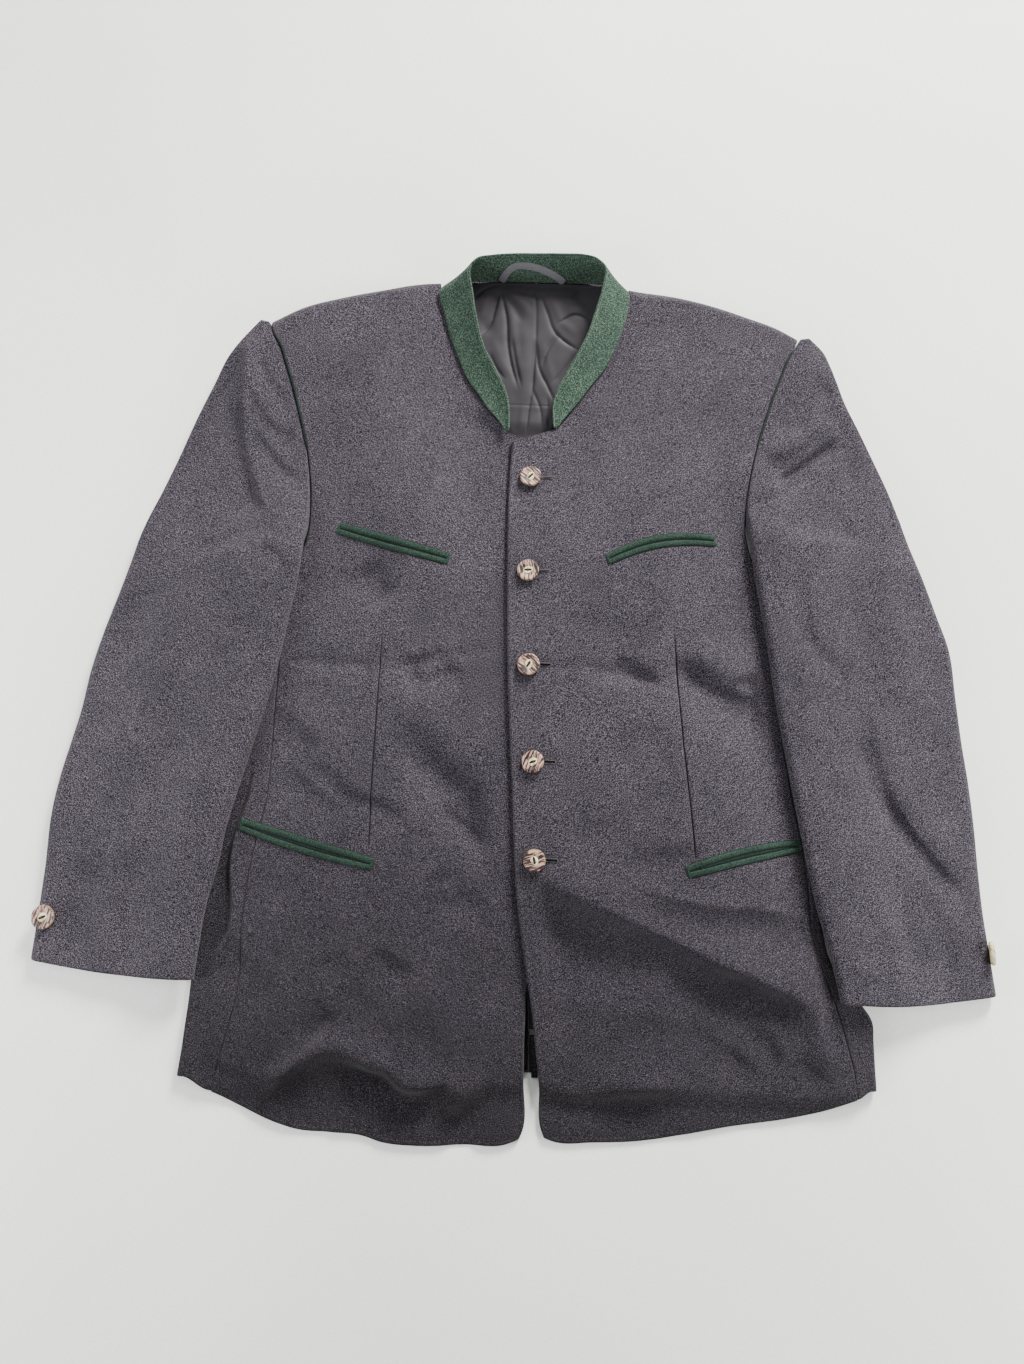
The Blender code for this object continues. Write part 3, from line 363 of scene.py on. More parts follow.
# The largest folds of the cloth, as ridges (height above 0) and troughs (below 0).
FOLDS = table(
    Fold,
    ("front_left", 24, -182, 270, -292, 6, 4.2, 30, 13),
    ("front_left", 120, -198, 236, -212, -3, 2.2, 14, 12),
    ("front_left", 84, 12, 130, 1, 0, -1.6, 11, 11),
    ("front_left", 148, 22, 200, -5, -4, -2.0, 10, 12),
    ("front_left", 40, -372, 130, -384, 3, -2.0, 12, 14),
    ("front_left", 225, -305, 262, -350, 0, 1.6, 12, 12),
    ("front_right", -112, -50, -8, -160, 8, -2.4, 15, 15),
    ("front_right", -206, -60, -156, -128, 0, -1.8, 13, 13),
    ("front_right", -196, 12, -96, 8, -3, -1.4, 10, 10),
    ("front_right", -178, -352, -86, -352, 14, 3.4, 16, 10),
    ("front_right", -150, -364, -84, -376, 3, -2.2, 10, 14),
    ("front_right", -190, 60, -120, 110, 0, -1.0, 22, 22),
    ("sleeve_right", -276, 328, -284, 262, -5, 3.2, 12, 12),
    ("sleeve_right", -286, 240, -262, 176, -5, -2.6, 12, 12),
    ("sleeve_right", -330, 60, -402, -180, 10, 2.0, 26, 26),
    ("sleeve_left", 282, 300, 244, 250, -10, -2.2, 10, 10),
    ("sleeve_left", 290, 246, 236, 208, -6, -3.0, 11, 13),
    ("sleeve_left", 282, 262, 236, 226, -6, 2.4, 10, 10),
    ("sleeve_left", 316, -50, 398, -184, -14, -2.4, 14, 12),
    ("sleeve_left", 264, 60, 300, 10, -10, -1.6, 12, 12),
)
# Jetted pockets: the middle of the slit, its bow, and how far the lips stand apart.
LIPS = table(
    Lip,
    ("chest_lips_right", Side.RIGHT, -175, 139.5, -72, 110.5, -1.5, 1.4),
    ("chest_lips_left", Side.LEFT, 80, 114, 179, 137, 7.0, 0.9),
    ("hip_lips_right", Side.RIGHT, -251, -141.3, -131, -172.5, -1.0, 3.0),
    ("hip_lips_left", Side.LEFT, 157, -171.5, 259, -146.5, 2.5, 3.4),
)

# How each shown piece of cloth was cut, round both sides of a fold where it has one.
CUTS = table(
    Cut,
    ("back_right", 272, 775, 1750, ("floor",)),
    ("back_left", 278, 772, 1650, ("floor",), ("vent_edge", "bar_tack")),
    ("side_panel_right", 122, 482, 380, ("floor",)),
    ("side_panel_left", 118, 478, 300, ("floor",)),
    ("front_right", 310, 808, 1900, ("back_right", "side_panel_right"), ("edge_stitches_right",)),
    ("front_left", 330, 800, 1860, ("back_left", "side_panel_left"), ("edge_stitches_left",)),
    ("under_sleeve_right", 192, 645, 890, ("floor", "side_panel_right")),
    ("under_sleeve_left", 192, 645, 885, ("floor", "side_panel_left")),
    ("top_sleeve_right", 192, 645, 900, ("under_sleeve_right",), ("piping_right",)),
    ("top_sleeve_left", 192, 645, 895, ("under_sleeve_left",), ("piping_left",)),
    ("collar", 34, 480, 140, ("front_right", "front_left"), ("hanger_loop", "collar_stitches")),
    ("lining_neck", 182, 168, 245, ("back_right", "back_left")),
    ("lining_skirt", 31, 89, 26, ("back_right", "back_left")),
    ("chest_lips_right", 11.5, 108, 11.2, ("front_right",), ("chest_lips_right_seam",)),
    ("chest_lips_left", 11.5, 104, 10.8, ("front_left",), ("chest_lips_left_seam",)),
    ("hip_lips_right", 14, 125, 13, ("front_right", "side_panel_right"),
     ("hip_lips_right_seam", "hip_facing_right")),
    ("hip_lips_left", 14, 106, 11.2, ("front_left", "side_panel_left"),
     ("hip_lips_left_seam", "hip_facing_left")),
)
FRONT_BUTTON_SPOTS = table(Point, (4.4, 194.6), (4, 100.8), (6.8, 12.2), (13, -77), (17, -165.2))

# The darts of the fronts, from the top down, and the small creases of every part.
RIGHT_DART = table(Point, (-133, -157), (-133, -113), (-132, -64), (-130, 7), (-129, 48))
LEFT_DART = table(Point, (162, -159), (157, -115), (150, -56), (145, 3), (140, 52))

CREASES = {
    # The right front: the line where the jacket lay folded in store, soft hollows, the arch above the hem.
    "front_right": table(
        Crease,
        (-1.6, 2.6, 2.6, SHARP, ((-218, 12), (-169, 9), (-130, 6))),
        (-1.4, 2.6, 2.6, SHARP, ((-127, 6), (-101, 11), (-75, 20), (-48, 23), (-14, 26))),
        (5.2, 8.1, 18.9, STEP, ((-109, 19), (-90, 19), (-70, 27))),
        (6.4, 6.8, 16.2, STEP, ((-97, 7), (-89, 0), (-82, -4))),
        (7.0, 8.1, 18.9, STEP, ((-89, 0), (-75, 8), (-55, 11))),
        (6.4, 18.9, 35.1, STEP, ((-217, -30), (-202, -44), (-177, -66))),
        (7.5, 10.8, 24.3, STEP, ((-207, -83), (-182, -106), (-155, -127))),
        (5.8, 9.5, 21.6, STEP, ((-162, -98), (-143, -108), (-123, -114), (-99, -125))),
        (4.6, 13.5, 24.3, STEP, ((-200, -74), (-172, -86), (-151, -101))),
        (-8.7, 27.0, 14.9, SOFT, ((-109, -62), (-80, -94), (-55, -122), (-31, -143), (-5, -158))),
        (8.7, 10.8, 21.6, STEP, ((-70, -114), (-46, -131), (-24, -145), (-6, -151))),
        (5.2, 18.9, 29.7, STEP, ((-81, -67), (-66, -81), (-47, -95))),
        (-5.8, 13.5, 16.2, SOFT, ((-127, 65), (-137, 80), (-150, 102))),
        (4.6, 16.2, 27.0, STEP, ((-174, 105), (-161, 96), (-141, 78), (-121, 51))),
        (4.6, 10.8, 21.6, STEP, ((-86, -182), (-70, -178), (-52, -174))),
        (4.6, 10.8, 24.3, STEP, ((-89, -198), (-62, -196), (-26, -191))),
        (5.2, 8.1, 18.9, STEP, ((-20, -198), (-13, -213), (-5, -231))),
        (7.0, 9.5, 24.3, STEP, ((-119, -243), (-104, -254), (-86, -266))),
        (4.6, 12.2, 24.3, STEP, ((-179, -260), (-167, -254), (-153, -247))),
        (5.2, 18.9, 35.1, STEP, ((-76, -295), (-63, -317), (-56, -342))),
        (4.6, 16.2, 32.4, STEP, ((-142, -278), (-118, -294), (-105, -320))),
        (5.2, 16.2, 32.4, STEP, ((-247, -246), (-228, -267), (-204, -285))),
        (4.1, 16.2, 29.7, STEP, ((-228, -177), (-215, -186), (-194, -187))),
        (4.1, 18.9, 27.0, STEP, ((-39, -228), (-29, -254), (-13, -274))),
        (7.5, 6.8, 16.2, STEP, ((-156, -314), (-167, -323), (-177, -334))),
        (8.1, 8.1, 6.8, SOFT, ((-213, -368), (-198, -354), (-181, -342), (-164, -333), (-148, -331))),
        (10.4, 13.5, 40.5, STEP, ((-213, -372), (-193, -356), (-172, -345), (-153, -341), (-139, -346))),
        (7.0, 9.5, 6.8, SOFT, ((-141, -341), (-127, -347), (-107, -353), (-94, -362), (-78, -363),
         (-56, -357))),
        (19.1, 9.5, 21.6, STEP, ((-143, -344), (-126, -352), (-109, -357), (-98, -367), (-80, -368),
         (-57, -362))),
        (9.3, 13.5, 13.5, SOFT, ((-105, -367), (-85, -376), (-57, -377), (-29, -368), (-7, -357))),
        (9.3, 16.2, 40.5, STEP, ((-60, -384), (-36, -380), (-15, -373), (8, -365))),
        (5.2, 13.5, 21.6, STEP, ((-131, -366), (-120, -379), (-102, -390))),
        (6.4, 13.5, 21.6, STEP, ((-282, -338), (-251, -353), (-217, -363))),
    ),
    # The left front: the same line, the long fold that leaves the lowest button and the ones beside it.
    "front_left": table(
        Crease,
        (-1.4, 2.6, 2.6, SHARP, ((22, 10), (53, 13), (79, 12), (103, 5), (136, -1))),
        (4.5, 6.5, 15.6, STEP, ((60, 17), (77, 14), (94, 9))),
        (7.5, 9.1, 20.8, STEP, ((88, 27), (108, 16), (131, 2))),
        (11.5, 11.7, 33.8, STEP, ((143, 25), (160, 17), (175, 8), (192, -3), (212, -7), (232, -4))),
        (4.0, 20.8, 13.0, SOFT, ((156, 33), (177, 22), (199, 11), (221, 16))),
        (-4.5, 11.7, 9.1, SOFT, ((206, 8), (217, -1), (236, -8))),
        (9.8, 14.3, 83.2, STEP, ((19, -179), (41, -192), (77, -207), (113, -222), (149, -237), (184, -253),
         (220, -267), (275, -289))),
        (4.5, 33.8, 6.5, SOFT, ((19, -179), (41, -191), (77, -207), (113, -221), (149, -236), (184, -252),
         (220, -266), (275, -287))),
        (7.0, 9.1, 28.6, STEP, ((152, -246), (172, -254), (191, -260), (213, -259))),
        (5.5, 7.8, 23.4, STEP, ((191, -255), (209, -263), (229, -273), (252, -277))),
        (12.5, 15.6, 39.0, STEP, ((109, -184), (139, -194), (181, -201), (220, -203), (256, -209))),
        (5.0, 13.0, 26.0, STEP, ((101, -164), (126, -153), (161, -145))),
        (3.5, 13.0, 26.0, STEP, ((52, -125), (74, -126), (99, -120))),
        (6.0, 15.6, 33.8, STEP, ((41, -200), (70, -225), (95, -242), (124, -252))),
        (5.0, 20.8, 39.0, STEP, ((43, -287), (78, -296), (122, -298), (158, -309))),
        (5.0, 15.6, 28.6, STEP, ((158, -292), (177, -313), (202, -331), (219, -348))),
        (6.0, 9.1, 18.2, STEP, ((228, -302), (237, -319), (246, -337))),
        (5.5, 10.4, 18.2, STEP, ((200, -321), (212, -335), (228, -346))),
        (4.5, 10.4, 18.2, STEP, ((255, -323), (269, -338), (288, -349))),
        (4.0, 7.8, 15.6, SOFT, ((269, -289), (276, -314), (281, -339))),
        (5.5, 11.7, 7.8, SOFT, ((32, -366), (53, -371), (79, -370), (114, -363), (149, -358))),
        (3.5, 18.2, 39.0, STEP, ((40, -338), (70, -350), (114, -366), (158, -375))),
        (4.5, 18.2, 33.8, STEP, ((74, -59), (107, -45), (133, -39))),
        (4.0, 18.2, 31.2, STEP, ((63, 72), (82, 59), (110, 56))),
        (-2.5, 0.9, 0.9, SHARP, ((121, 372), (147, 371), (173, 368))),
    ),
    # The right sleeve: its head, the wrinkles below it and the long soft ones.
    "sleeve_right": table(
        Crease,
        (10.1, 11.2, 55.0, STEP, ((-267, 336), (-273, 313), (-275, 280), (-274, 250), (-271, 224),
         (-262, 194), (-246, 157))),
        (7.7, 7.5, 25.0, STEP, ((-304, 249), (-289, 228), (-276, 210), (-261, 185), (-244, 155))),
        (4.3, 6.2, 15.0, STEP, ((-268, 287), (-258, 261), (-244, 243), (-216, 234))),
        (5.3, 6.2, 15.0, STEP, ((-261, 240), (-246, 219), (-230, 201), (-210, 188))),
        (3.4, 7.5, 15.0, STEP, ((-260, 314), (-249, 293), (-234, 275), (-220, 270))),
        (3.8, 4.2, 11.2, STEP, ((-252, 118), (-238, 121), (-229, 114), (-218, 96))),
        (3.8, 15.0, 27.5, STEP, ((-288, 178), (-268, 163), (-249, 145))),
        (3.4, 10.0, 20.0, STEP, ((-286, 40), (-264, 52), (-240, 51))),
        (3.8, 11.2, 22.5, STEP, ((-288, 17), (-267, 29), (-252, 41))),
        (3.1, 6.2, 15.0, STEP, ((-262, -10), (-248, 3), (-234, 11))),
        (3.4, 6.2, 15.0, STEP, ((-333, -81), (-325, -69), (-316, -60))),
        (3.8, 15.0, 30.0, STEP, ((-343, -20), (-362, -45), (-385, -75))),
        (5.3, 22.5, 42.5, STEP, ((-342, -85), (-363, -129), (-380, -166), (-387, -203))),
        (-4.3, 20.0, 12.5, SOFT, ((-355, 84), (-368, 32), (-380, -21))),
        (3.8, 15.0, 22.5, SOFT, ((-315, 105), (-326, 28), (-341, -48), (-364, -113))),
        (4.8, 12.5, 17.5, SOFT, ((-336, -121), (-357, -194), (-366, -264))),
        (-5.3, 17.5, 15.0, SOFT, ((-391, -177), (-398, -221), (-389, -267))),
        (3.4, 15.0, 15.0, SOFT, ((-293, -83), (-308, -174), (-309, -263))),
        (-3.8, 10.0, 10.0, SOFT, ((-350, -175), (-351, -229), (-342, -272))),
    ),
    # The left sleeve: its head, the deep wrinkle, the elbow and the long crease to the cuff.
    "sleeve_left": table(
        Crease,
        (4.5, 5.0, 11.0, STEP, ((254, 253), (270, 263), (281, 278), (286, 298))),
        (11.2, 5.0, 12.0, STEP, ((239, 202), (262, 217), (277, 229), (295, 244))),
        (4.8, 5.0, 12.0, STEP, ((214, 178), (235, 187), (254, 197), (271, 215))),
        (2.0, 6.0, 14.0, STEP, ((225, 131), (240, 145), (248, 165))),
        (2.2, 5.0, 14.0, STEP, ((266, 115), (268, 77), (275, 45), (291, 28), (317, 23))),
        (3.0, 5.0, 12.0, STEP, ((259, -16), (278, -2), (299, 19))),
        (2.0, 8.0, 16.0, STEP, ((322, -18), (329, -38), (334, -66))),
        (2.5, 8.0, 18.0, STEP, ((325, -46), (336, -77), (350, -107), (367, -136))),
        (3.8, 4.4, 12.0, STEP, ((341, -95), (353, -116), (376, -146), (404, -178))),
        (2.0, 14.0, 20.0, SOFT, ((321, -11), (336, -66), (361, -112), (399, -156))),
        (2.0, 12.0, 24.0, STEP, ((280, -12), (292, -36), (301, -67))),
        (1.8, 8.0, 16.0, STEP, ((283, -51), (290, -82), (304, -103))),
        (2.0, 12.0, 12.0, SOFT, ((321, -175), (343, -236), (349, -279))),
        (-2.0, 12.0, 10.0, SOFT, ((375, -191), (388, -234), (390, -274))),
        (2.0, 12.0, 22.0, STEP, ((308, 112), (319, 84), (335, 46))),
        (1.8, 12.0, 20.0, STEP, ((296, 180), (307, 161), (323, 142))),
        (-2.5, 12.0, 10.0, SOFT, ((293, 272), (308, 230), (315, 195))),
        (1.8, 14.0, 14.0, SOFT, ((336, 123), (353, 47), (363, -28))),
    ),
    # The lining at the back of the neck: its pleat and the creases that fall from the loop.
    "lining": table(
        Crease,
        (-2.7, 1.1, 1.6, SHARP, ((5, 393), (6, 366), (6, 332))),
        (-5.4, 1.1, 2.3, SHARP, ((6, 334), (5, 310), (4, 285))),
        (1.3, 6, 5, SOFT, ((-4, 347), (-5, 310), (-7, 275))),
        (-2.7, 1.1, 1.6, SHARP, ((4, 287), (1, 265), (-1, 238))),
        (-4.9, 1.1, 2.0, SHARP, ((-29, 386), (-23, 359), (-21, 331), (-15, 303), (-11, 291))),
        (-3.0, 1.1, 1.6, SHARP, ((-17, 336), (-13, 314), (-7, 289))),
        (1.3, 4, 4, SOFT, ((-19, 365), (-14, 331), (-8, 299))),
        (-4.6, 1.1, 1.8, SHARP, ((7, 333), (11, 306), (19, 290), (25, 276))),
        (1.1, 4, 4, SOFT, ((13, 337), (19, 310), (27, 290))),
        (-3.0, 1.1, 1.6, SHARP, ((4, 287), (12, 267), (15, 241))),
        (-4.3, 1.1, 1.8, SHARP, ((10, 385), (17, 366), (25, 346), (36, 336), (48, 328))),
        (1.4, 5, 4, SOFT, ((21, 379), (31, 358), (45, 344))),
        (-3.2, 1.1, 2.3, SHARP, ((28, 344), (18, 327), (13, 310))),
        (-3.5, 1.1, 2.7, SHARP, ((48, 326), (36, 309), (23, 292))),
        (-1.8, 4, 4, SOFT, ((-29, 384), (-18, 374), (-8, 357))),
        (1.2, 4, 5, SOFT, ((-21, 386), (-7, 374), (0, 362))),
        (-1.3, 3, 3, SOFT, ((-17, 390), (-3, 385), (11, 379))),
        (-5.7, 1.1, 3.6, SHARP, ((-31, 386), (-35, 367), (-39, 352), (-47, 342))),
        (-1.8, 7, 6, SOFT, ((-52, 371), (-45, 354), (-35, 342))),
        (1.6, 4, 4, SOFT, ((-40, 386), (-46, 373), (-49, 358))),
        (-3.5, 1.1, 1.8, SHARP, ((-33, 395), (-46, 389), (-56, 378))),
        (-4.6, 1.1, 2.7, SHARP, ((43, 386), (56, 393), (70, 397))),
        (1.2, 4, 4, SOFT, ((35, 379), (51, 380), (66, 384))),
        (-3.8, 1.1, 2.7, SHARP, ((29, 356), (43, 365), (61, 361))),
        (-1.8, 7, 7, SOFT, ((38, 392), (49, 376), (63, 353))),
        (1.3, 5, 5, SOFT, ((-37, 338), (-29, 319), (-22, 301))),
        (-2.4, 1.1, 1.8, SHARP, ((-39, 323), (-30, 305), (-24, 297))),
        (1.1, 3, 3, SOFT, ((-4, 271), (-7, 250), (-9, 236))),
        (-2.2, 1.1, 1.8, SHARP, ((19, 280), (20, 263), (22, 245))),
    ),
}


def smooth(value: np.ndarray) -> np.ndarray:
    """Return a step from 0 to 1 that is level at both ends."""
    v = np.clip(value, 0.0, 1.0)
    return v * v * (3.0 - 2.0 * v)


def curve(rows: Sequence[Point], count: int = 0, at: Optional[np.ndarray] = None) -> np.ndarray:
    """Sample the smooth line through a table's places.

    Args:
        rows: the places, in order.
        count: how many evenly spaced samples to take.
        at: the shares of the length to sample at instead.

    Returns:
        One row of x and y for each sample, in millimetres.
    """
    p = np.array(rows, float)
    run = np.concatenate([[0.0], np.cumsum(np.linalg.norm(np.diff(p, axis=0), axis=1))])
    want = (np.linspace(0.0, 1.0, count) if at is None else np.asarray(at, float)) * run[-1]
    return hermite(run, p, want)


def hermite(run: np.ndarray, values: np.ndarray, want: np.ndarray) -> np.ndarray:
    """Interpolate rows of values smoothly.

    Args:
        run: the rising place of each row.
        values: the rows.
        want: the places to interpolate at.

    Returns:
        One row for each wanted place.
    """
    slope = np.gradient(values, run, axis=0)
    k = np.clip(np.searchsorted(run, want, side="right") - 1, 0, len(values) - 2)
    span = (run[k + 1] - run[k])[:, None]
    t = ((want - run[k])[:, None]) / span
    near = values[k] * (2 * t**3 - 3 * t**2 + 1) + values[k + 1] * (3 * t**2 - 2 * t**3)
    return near + slope[k] * span * (t**3 - 2 * t**2 + t) + slope[k + 1] * span * (t**3 - t**2)


PAST_END = 9.0  # how far a line goes on past its ends, as a share of its end stretches


def from_line(line: np.ndarray, x: np.ndarray, y: np.ndarray) -> tuple[np.ndarray, np.ndarray]:
    """Measure how places lie beside a line of straight stretches.

    Args:
        line: the line's corners.
        x: the places' x.
        y: the places' y.

    Returns:
        The signed distance, above 0 to the left of the line's run, and the share of its length.
    """
    step = np.diff(line, axis=0)
    span = np.hypot(step[:, 0], step[:, 1])
    start = np.concatenate([[0.0], np.cumsum(span)])
    best = np.full(x.shape, 1e9)
    signed, share = np.zeros(x.shape), np.zeros(x.shape)
    for k in range(len(step)):
        dx, dy = x - line[k, 0], y - line[k, 1]
        t = (dx * step[k, 0] + dy * step[k, 1]) / span[k] ** 2
        low = -PAST_END if k == 0 else 0.0
        high = PAST_END if k == len(step) - 1 else 1.0
        t = np.clip(t, low, high)
        away = np.hypot(dx - t * step[k, 0], dy - t * step[k, 1])
        side = np.sign(step[k, 0] * dy - step[k, 1] * dx)
        closer = away < best
        best = np.where(closer, away, best)
        signed = np.where(closer, away * side, signed)
        share = np.where(closer, (start[k] + t * span[k]) / start[-1], share)
    return signed, share


def crease_height(part: str, x: np.ndarray, y: np.ndarray) -> np.ndarray:
    """Return the height that the small creases of one part add at each place.

    Args:
        part: the name of the part.
        x: the places' x, in millimetres.
        y: the places' y, in millimetres.

    Returns:
        The heights, in millimetres.
    """
    total = np.zeros(x.shape)
    for crease in CREASES.get(part, ()):
        line = curve(crease.line, count=4 * len(crease.line))
        signed, share = from_line(line, x, y)
        if crease.crest is STEP:
            down = np.clip(-signed, 0.0, None)
            body = -(1.0 - np.exp(-down / crease.left)) * np.exp(-((down / crease.right) ** 2))
        else:
            width = np.where(signed > 0, crease.left, crease.right)
            reach = np.abs(signed) / width
            body = np.exp(-reach) if crease.crest is SHARP else np.exp(-(reach**2))
        fade = smooth((share + 0.12) / 0.34) * smooth((1.12 - share) / 0.34)
        total = total + crease.height * fade * body
    return total


def fold_height(part: str, x: np.ndarray, y: np.ndarray) -> np.ndarray:
    """Return the height that the large folds of one part add at each place.

    Args:
        part: the name of the part.
        x: the places' x, in millimetres.
        y: the places' y, in millimetres.

    Returns:
        The heights, in millimetres.
    """
    total = np.zeros(np.shape(x))
    for fold in FOLDS:
        if fold.part != part:
            continue
        ax, ay = fold.x2 - fold.x1, fold.y2 - fold.y1
        length = math.hypot(ax, ay)
        along = ((x - fold.x1) * ax + (y - fold.y1) * ay) / length**2
        across = ((y - fold.y1) * ax - (x - fold.x1) * ay) / length
        across = across if ax >= 0 else -across
        across = across - fold.bow * (1.0 - (2.0 * np.clip(along, 0, 1) - 1.0) ** 2)
        width = np.where(across > 0, fold.above, fold.below)
        fade = smooth((along + 0.18) / 0.3) * smooth((1.18 - along) / 0.3)
        total = total + fold.height * fade * np.exp(-((across / width) ** 2))
    return total


def ripple(x: np.ndarray, y: np.ndarray, size: float, seed: float) -> np.ndarray:
    """Return an uneven swell of about 1 in height, as cloth that has been lain on has.

    Args:
        x: the places' x.
        y: the places' y.
        size: the usual length of one swell, in millimetres.
        seed: a number that shifts the pattern.

    Returns:
        The height at each place.
    """
    total = np.zeros(np.shape(x))
    for k in range(7):
        turn = seed * 1.7 + k * 2.4
        pitch = size * (0.62 + 0.17 * k)
        way = (x * math.cos(turn) + y * math.sin(turn)) / pitch
        bend = 1.3 * np.sin((x * math.sin(turn) - y * math.cos(turn)) / (pitch * 1.9) + k)
        total = total + np.sin(2 * math.pi * way + bend + seed * (k + 1)) / 7.0
    return total * 1.6


# ---------------------------------------------------------------- finishes


def add_node(tree: bpy.types.NodeTree, kind: str, inputs: Optional[dict] = None,
             **settings: object) -> bpy.types.Node:
    """Add a node to a tree.

    Args:
        tree: the tree of a material or of geometry.
        kind: the node's type.
        inputs: values or sockets for its inputs, by name or number.
        settings: its other properties.

    Returns:
        The new node.
    """
    node = tree.nodes.new(kind)
    for key, value in settings.items():
        setattr(node, key, value)
    for key, value in (inputs or {}).items():
        if isinstance(value, Socket):
            tree.links.new(value, node.inputs[key])
        else:
            node.inputs[key].default_value = value
    return node


class NodeTree:
    """A material's node tree, with short ways to add and link nodes."""

    def __init__(self, name: str) -> None:
        """Start a material with a plain shader.

        Args:
            name: the material's name.
        """
        self.material = bpy.data.materials.new(name)
        self.material.use_nodes = True
        self.tree = self.material.node_tree
        self.shader = self.tree.nodes["Principled BSDF"]

    def link(self, source: Socket, name: str) -> None:
        """Link a socket to one of the shader's inputs."""
        self.tree.links.new(source, self.shader.inputs[name])

    def plain(self, **values: float) -> None:
        """Set plain values on the shader's own inputs; a double underscore stands for a space."""
        for key, value in values.items():
            self.shader.inputs[key.replace("__", " ")].default_value = value

    def math(self, operation: str, first: object, second: object) -> Socket:
        """Return the result of a math node."""
        return add_node(self.tree, "ShaderNodeMath", {0: first, 1: second}, operation=operation).outputs[0]

    def blend(self, first: Socket, share: float, second: Socket, rest: float) -> Socket:
        """Return the sum of two values, each times its own share."""
        return self.math("ADD", self.math("MULTIPLY", first, share), self.math("MULTIPLY", second, rest))

    def place(self, scale: Colour = (1.0, 1.0, 1.0), turn: float = 0.0, by_uv: bool = False) -> Socket:
        """Return the coordinates of a pattern, scaled and turned about Z.

        Args:
            scale: how many units of the pattern go on a metre.
            turn: the angle about Z, in radians.
            by_uv: whether the pattern follows the piece's own map.

        Returns:
            The coordinates' socket.
        """
        source = add_node(self.tree, "ShaderNodeTexCoord").outputs["UV" if by_uv else "Object"]
        turned = add_node(self.tree, "ShaderNodeMapping", {"Vector": source, "Rotation": (0.0, 0.0, turn)})
        scaled = {"Vector": turned.outputs[0], "Scale": scale}
        return add_node(self.tree, "ShaderNodeMapping", scaled).outputs[0]

    def noise(self, where: Socket, scale: float, detail: float = 2.0, rough: float = 0.5) -> Socket:
        """Return a noise value between 0 and 1."""
        settings = {"Vector": where, "Scale": scale, "Detail": detail, "Roughness": rough}
        return add_node(self.tree, "ShaderNodeTexNoise", settings).outputs["Fac"]

    def wave(self, where: Socket, scale: float, bend: float, way: str = "X",
             detail: tuple[float, float] = (2.0, 1.0)) -> Socket:
        """Return the value of even bands.

        Args:
            where: the pattern's coordinates.
            scale: how close together the bands are.
            bend: how far they are bent.
            way: the direction that they cross.
            detail: how many steps of finer bends they have, and their scale.

        Returns:
            The value's socket, from 0 to 1.
        """
        inputs = {"Vector": where, "Scale": scale, "Distortion": bend}
        inputs.update({"Detail": detail[0], "Detail Scale": detail[1]})
        return add_node(self.tree, "ShaderNodeTexWave", inputs, bands_direction=way).outputs["Fac"]

    def ramp(self, value: Socket, stops: Sequence[tuple[float, Colour]]) -> Socket:
        """Return the colour that a value has on a ramp.

        Args:
            value: the value's socket.
            stops: the places of the ramp and their colours.

        Returns:
            The colour's socket.
        """
        node = add_node(self.tree, "ShaderNodeValToRGB", {"Fac": value})
        line = node.color_ramp.elements
        while len(line) < len(stops):
            line.new(0.5)
        for element, (spot, colour) in zip(line, stops):
            element.position = spot
            element.color = (*colour, 1.0)
        return node.outputs["Color"]

    def times(self, first: Socket, second: Socket) -> Socket:
        """Return the product of two colours."""
        inputs = {0: 1.0, 6: first, 7: second}
        return add_node(self.tree, "ShaderNodeMix", inputs, data_type="RGBA", blend_type="MULTIPLY").outputs[2]

    def paint(self, value: Socket, *stops: tuple[float, Colour]) -> None:
        """Colour the surface by a value on a ramp."""
        self.link(self.ramp(value, stops), "Base Color")

    def bump(self, height: Socket, relief: float) -> None:
        """Raise the surface by a height value times a distance in metres."""
        inputs = {"Height": height, "Distance": relief, "Strength": 1.0}
        self.link(add_node(self.tree, "ShaderNodeBump", inputs).outputs["Normal"], "Normal")

    def roughen(self, rough: float, value: Socket, share: float) -> None:
        """Set the roughness to a plain one and a share of a value."""
        self.link(self.math("ADD", rough, self.math("MULTIPLY", value, share)), "Roughness")


@dataclass(frozen=True)
class Finish:
    """What every finish has: a name, and a material that its own kind works out."""

    name: str

    def make(self) -> Material:
        """Return the finish's material.

        Returns:
            The material.
        """
        nodes = NodeTree(self.name)
        self.work_out(nodes)
        return nodes.material

    def work_out(self, nodes: NodeTree) -> None:
        """Add the finish's own nodes."""
        raise NotImplementedError


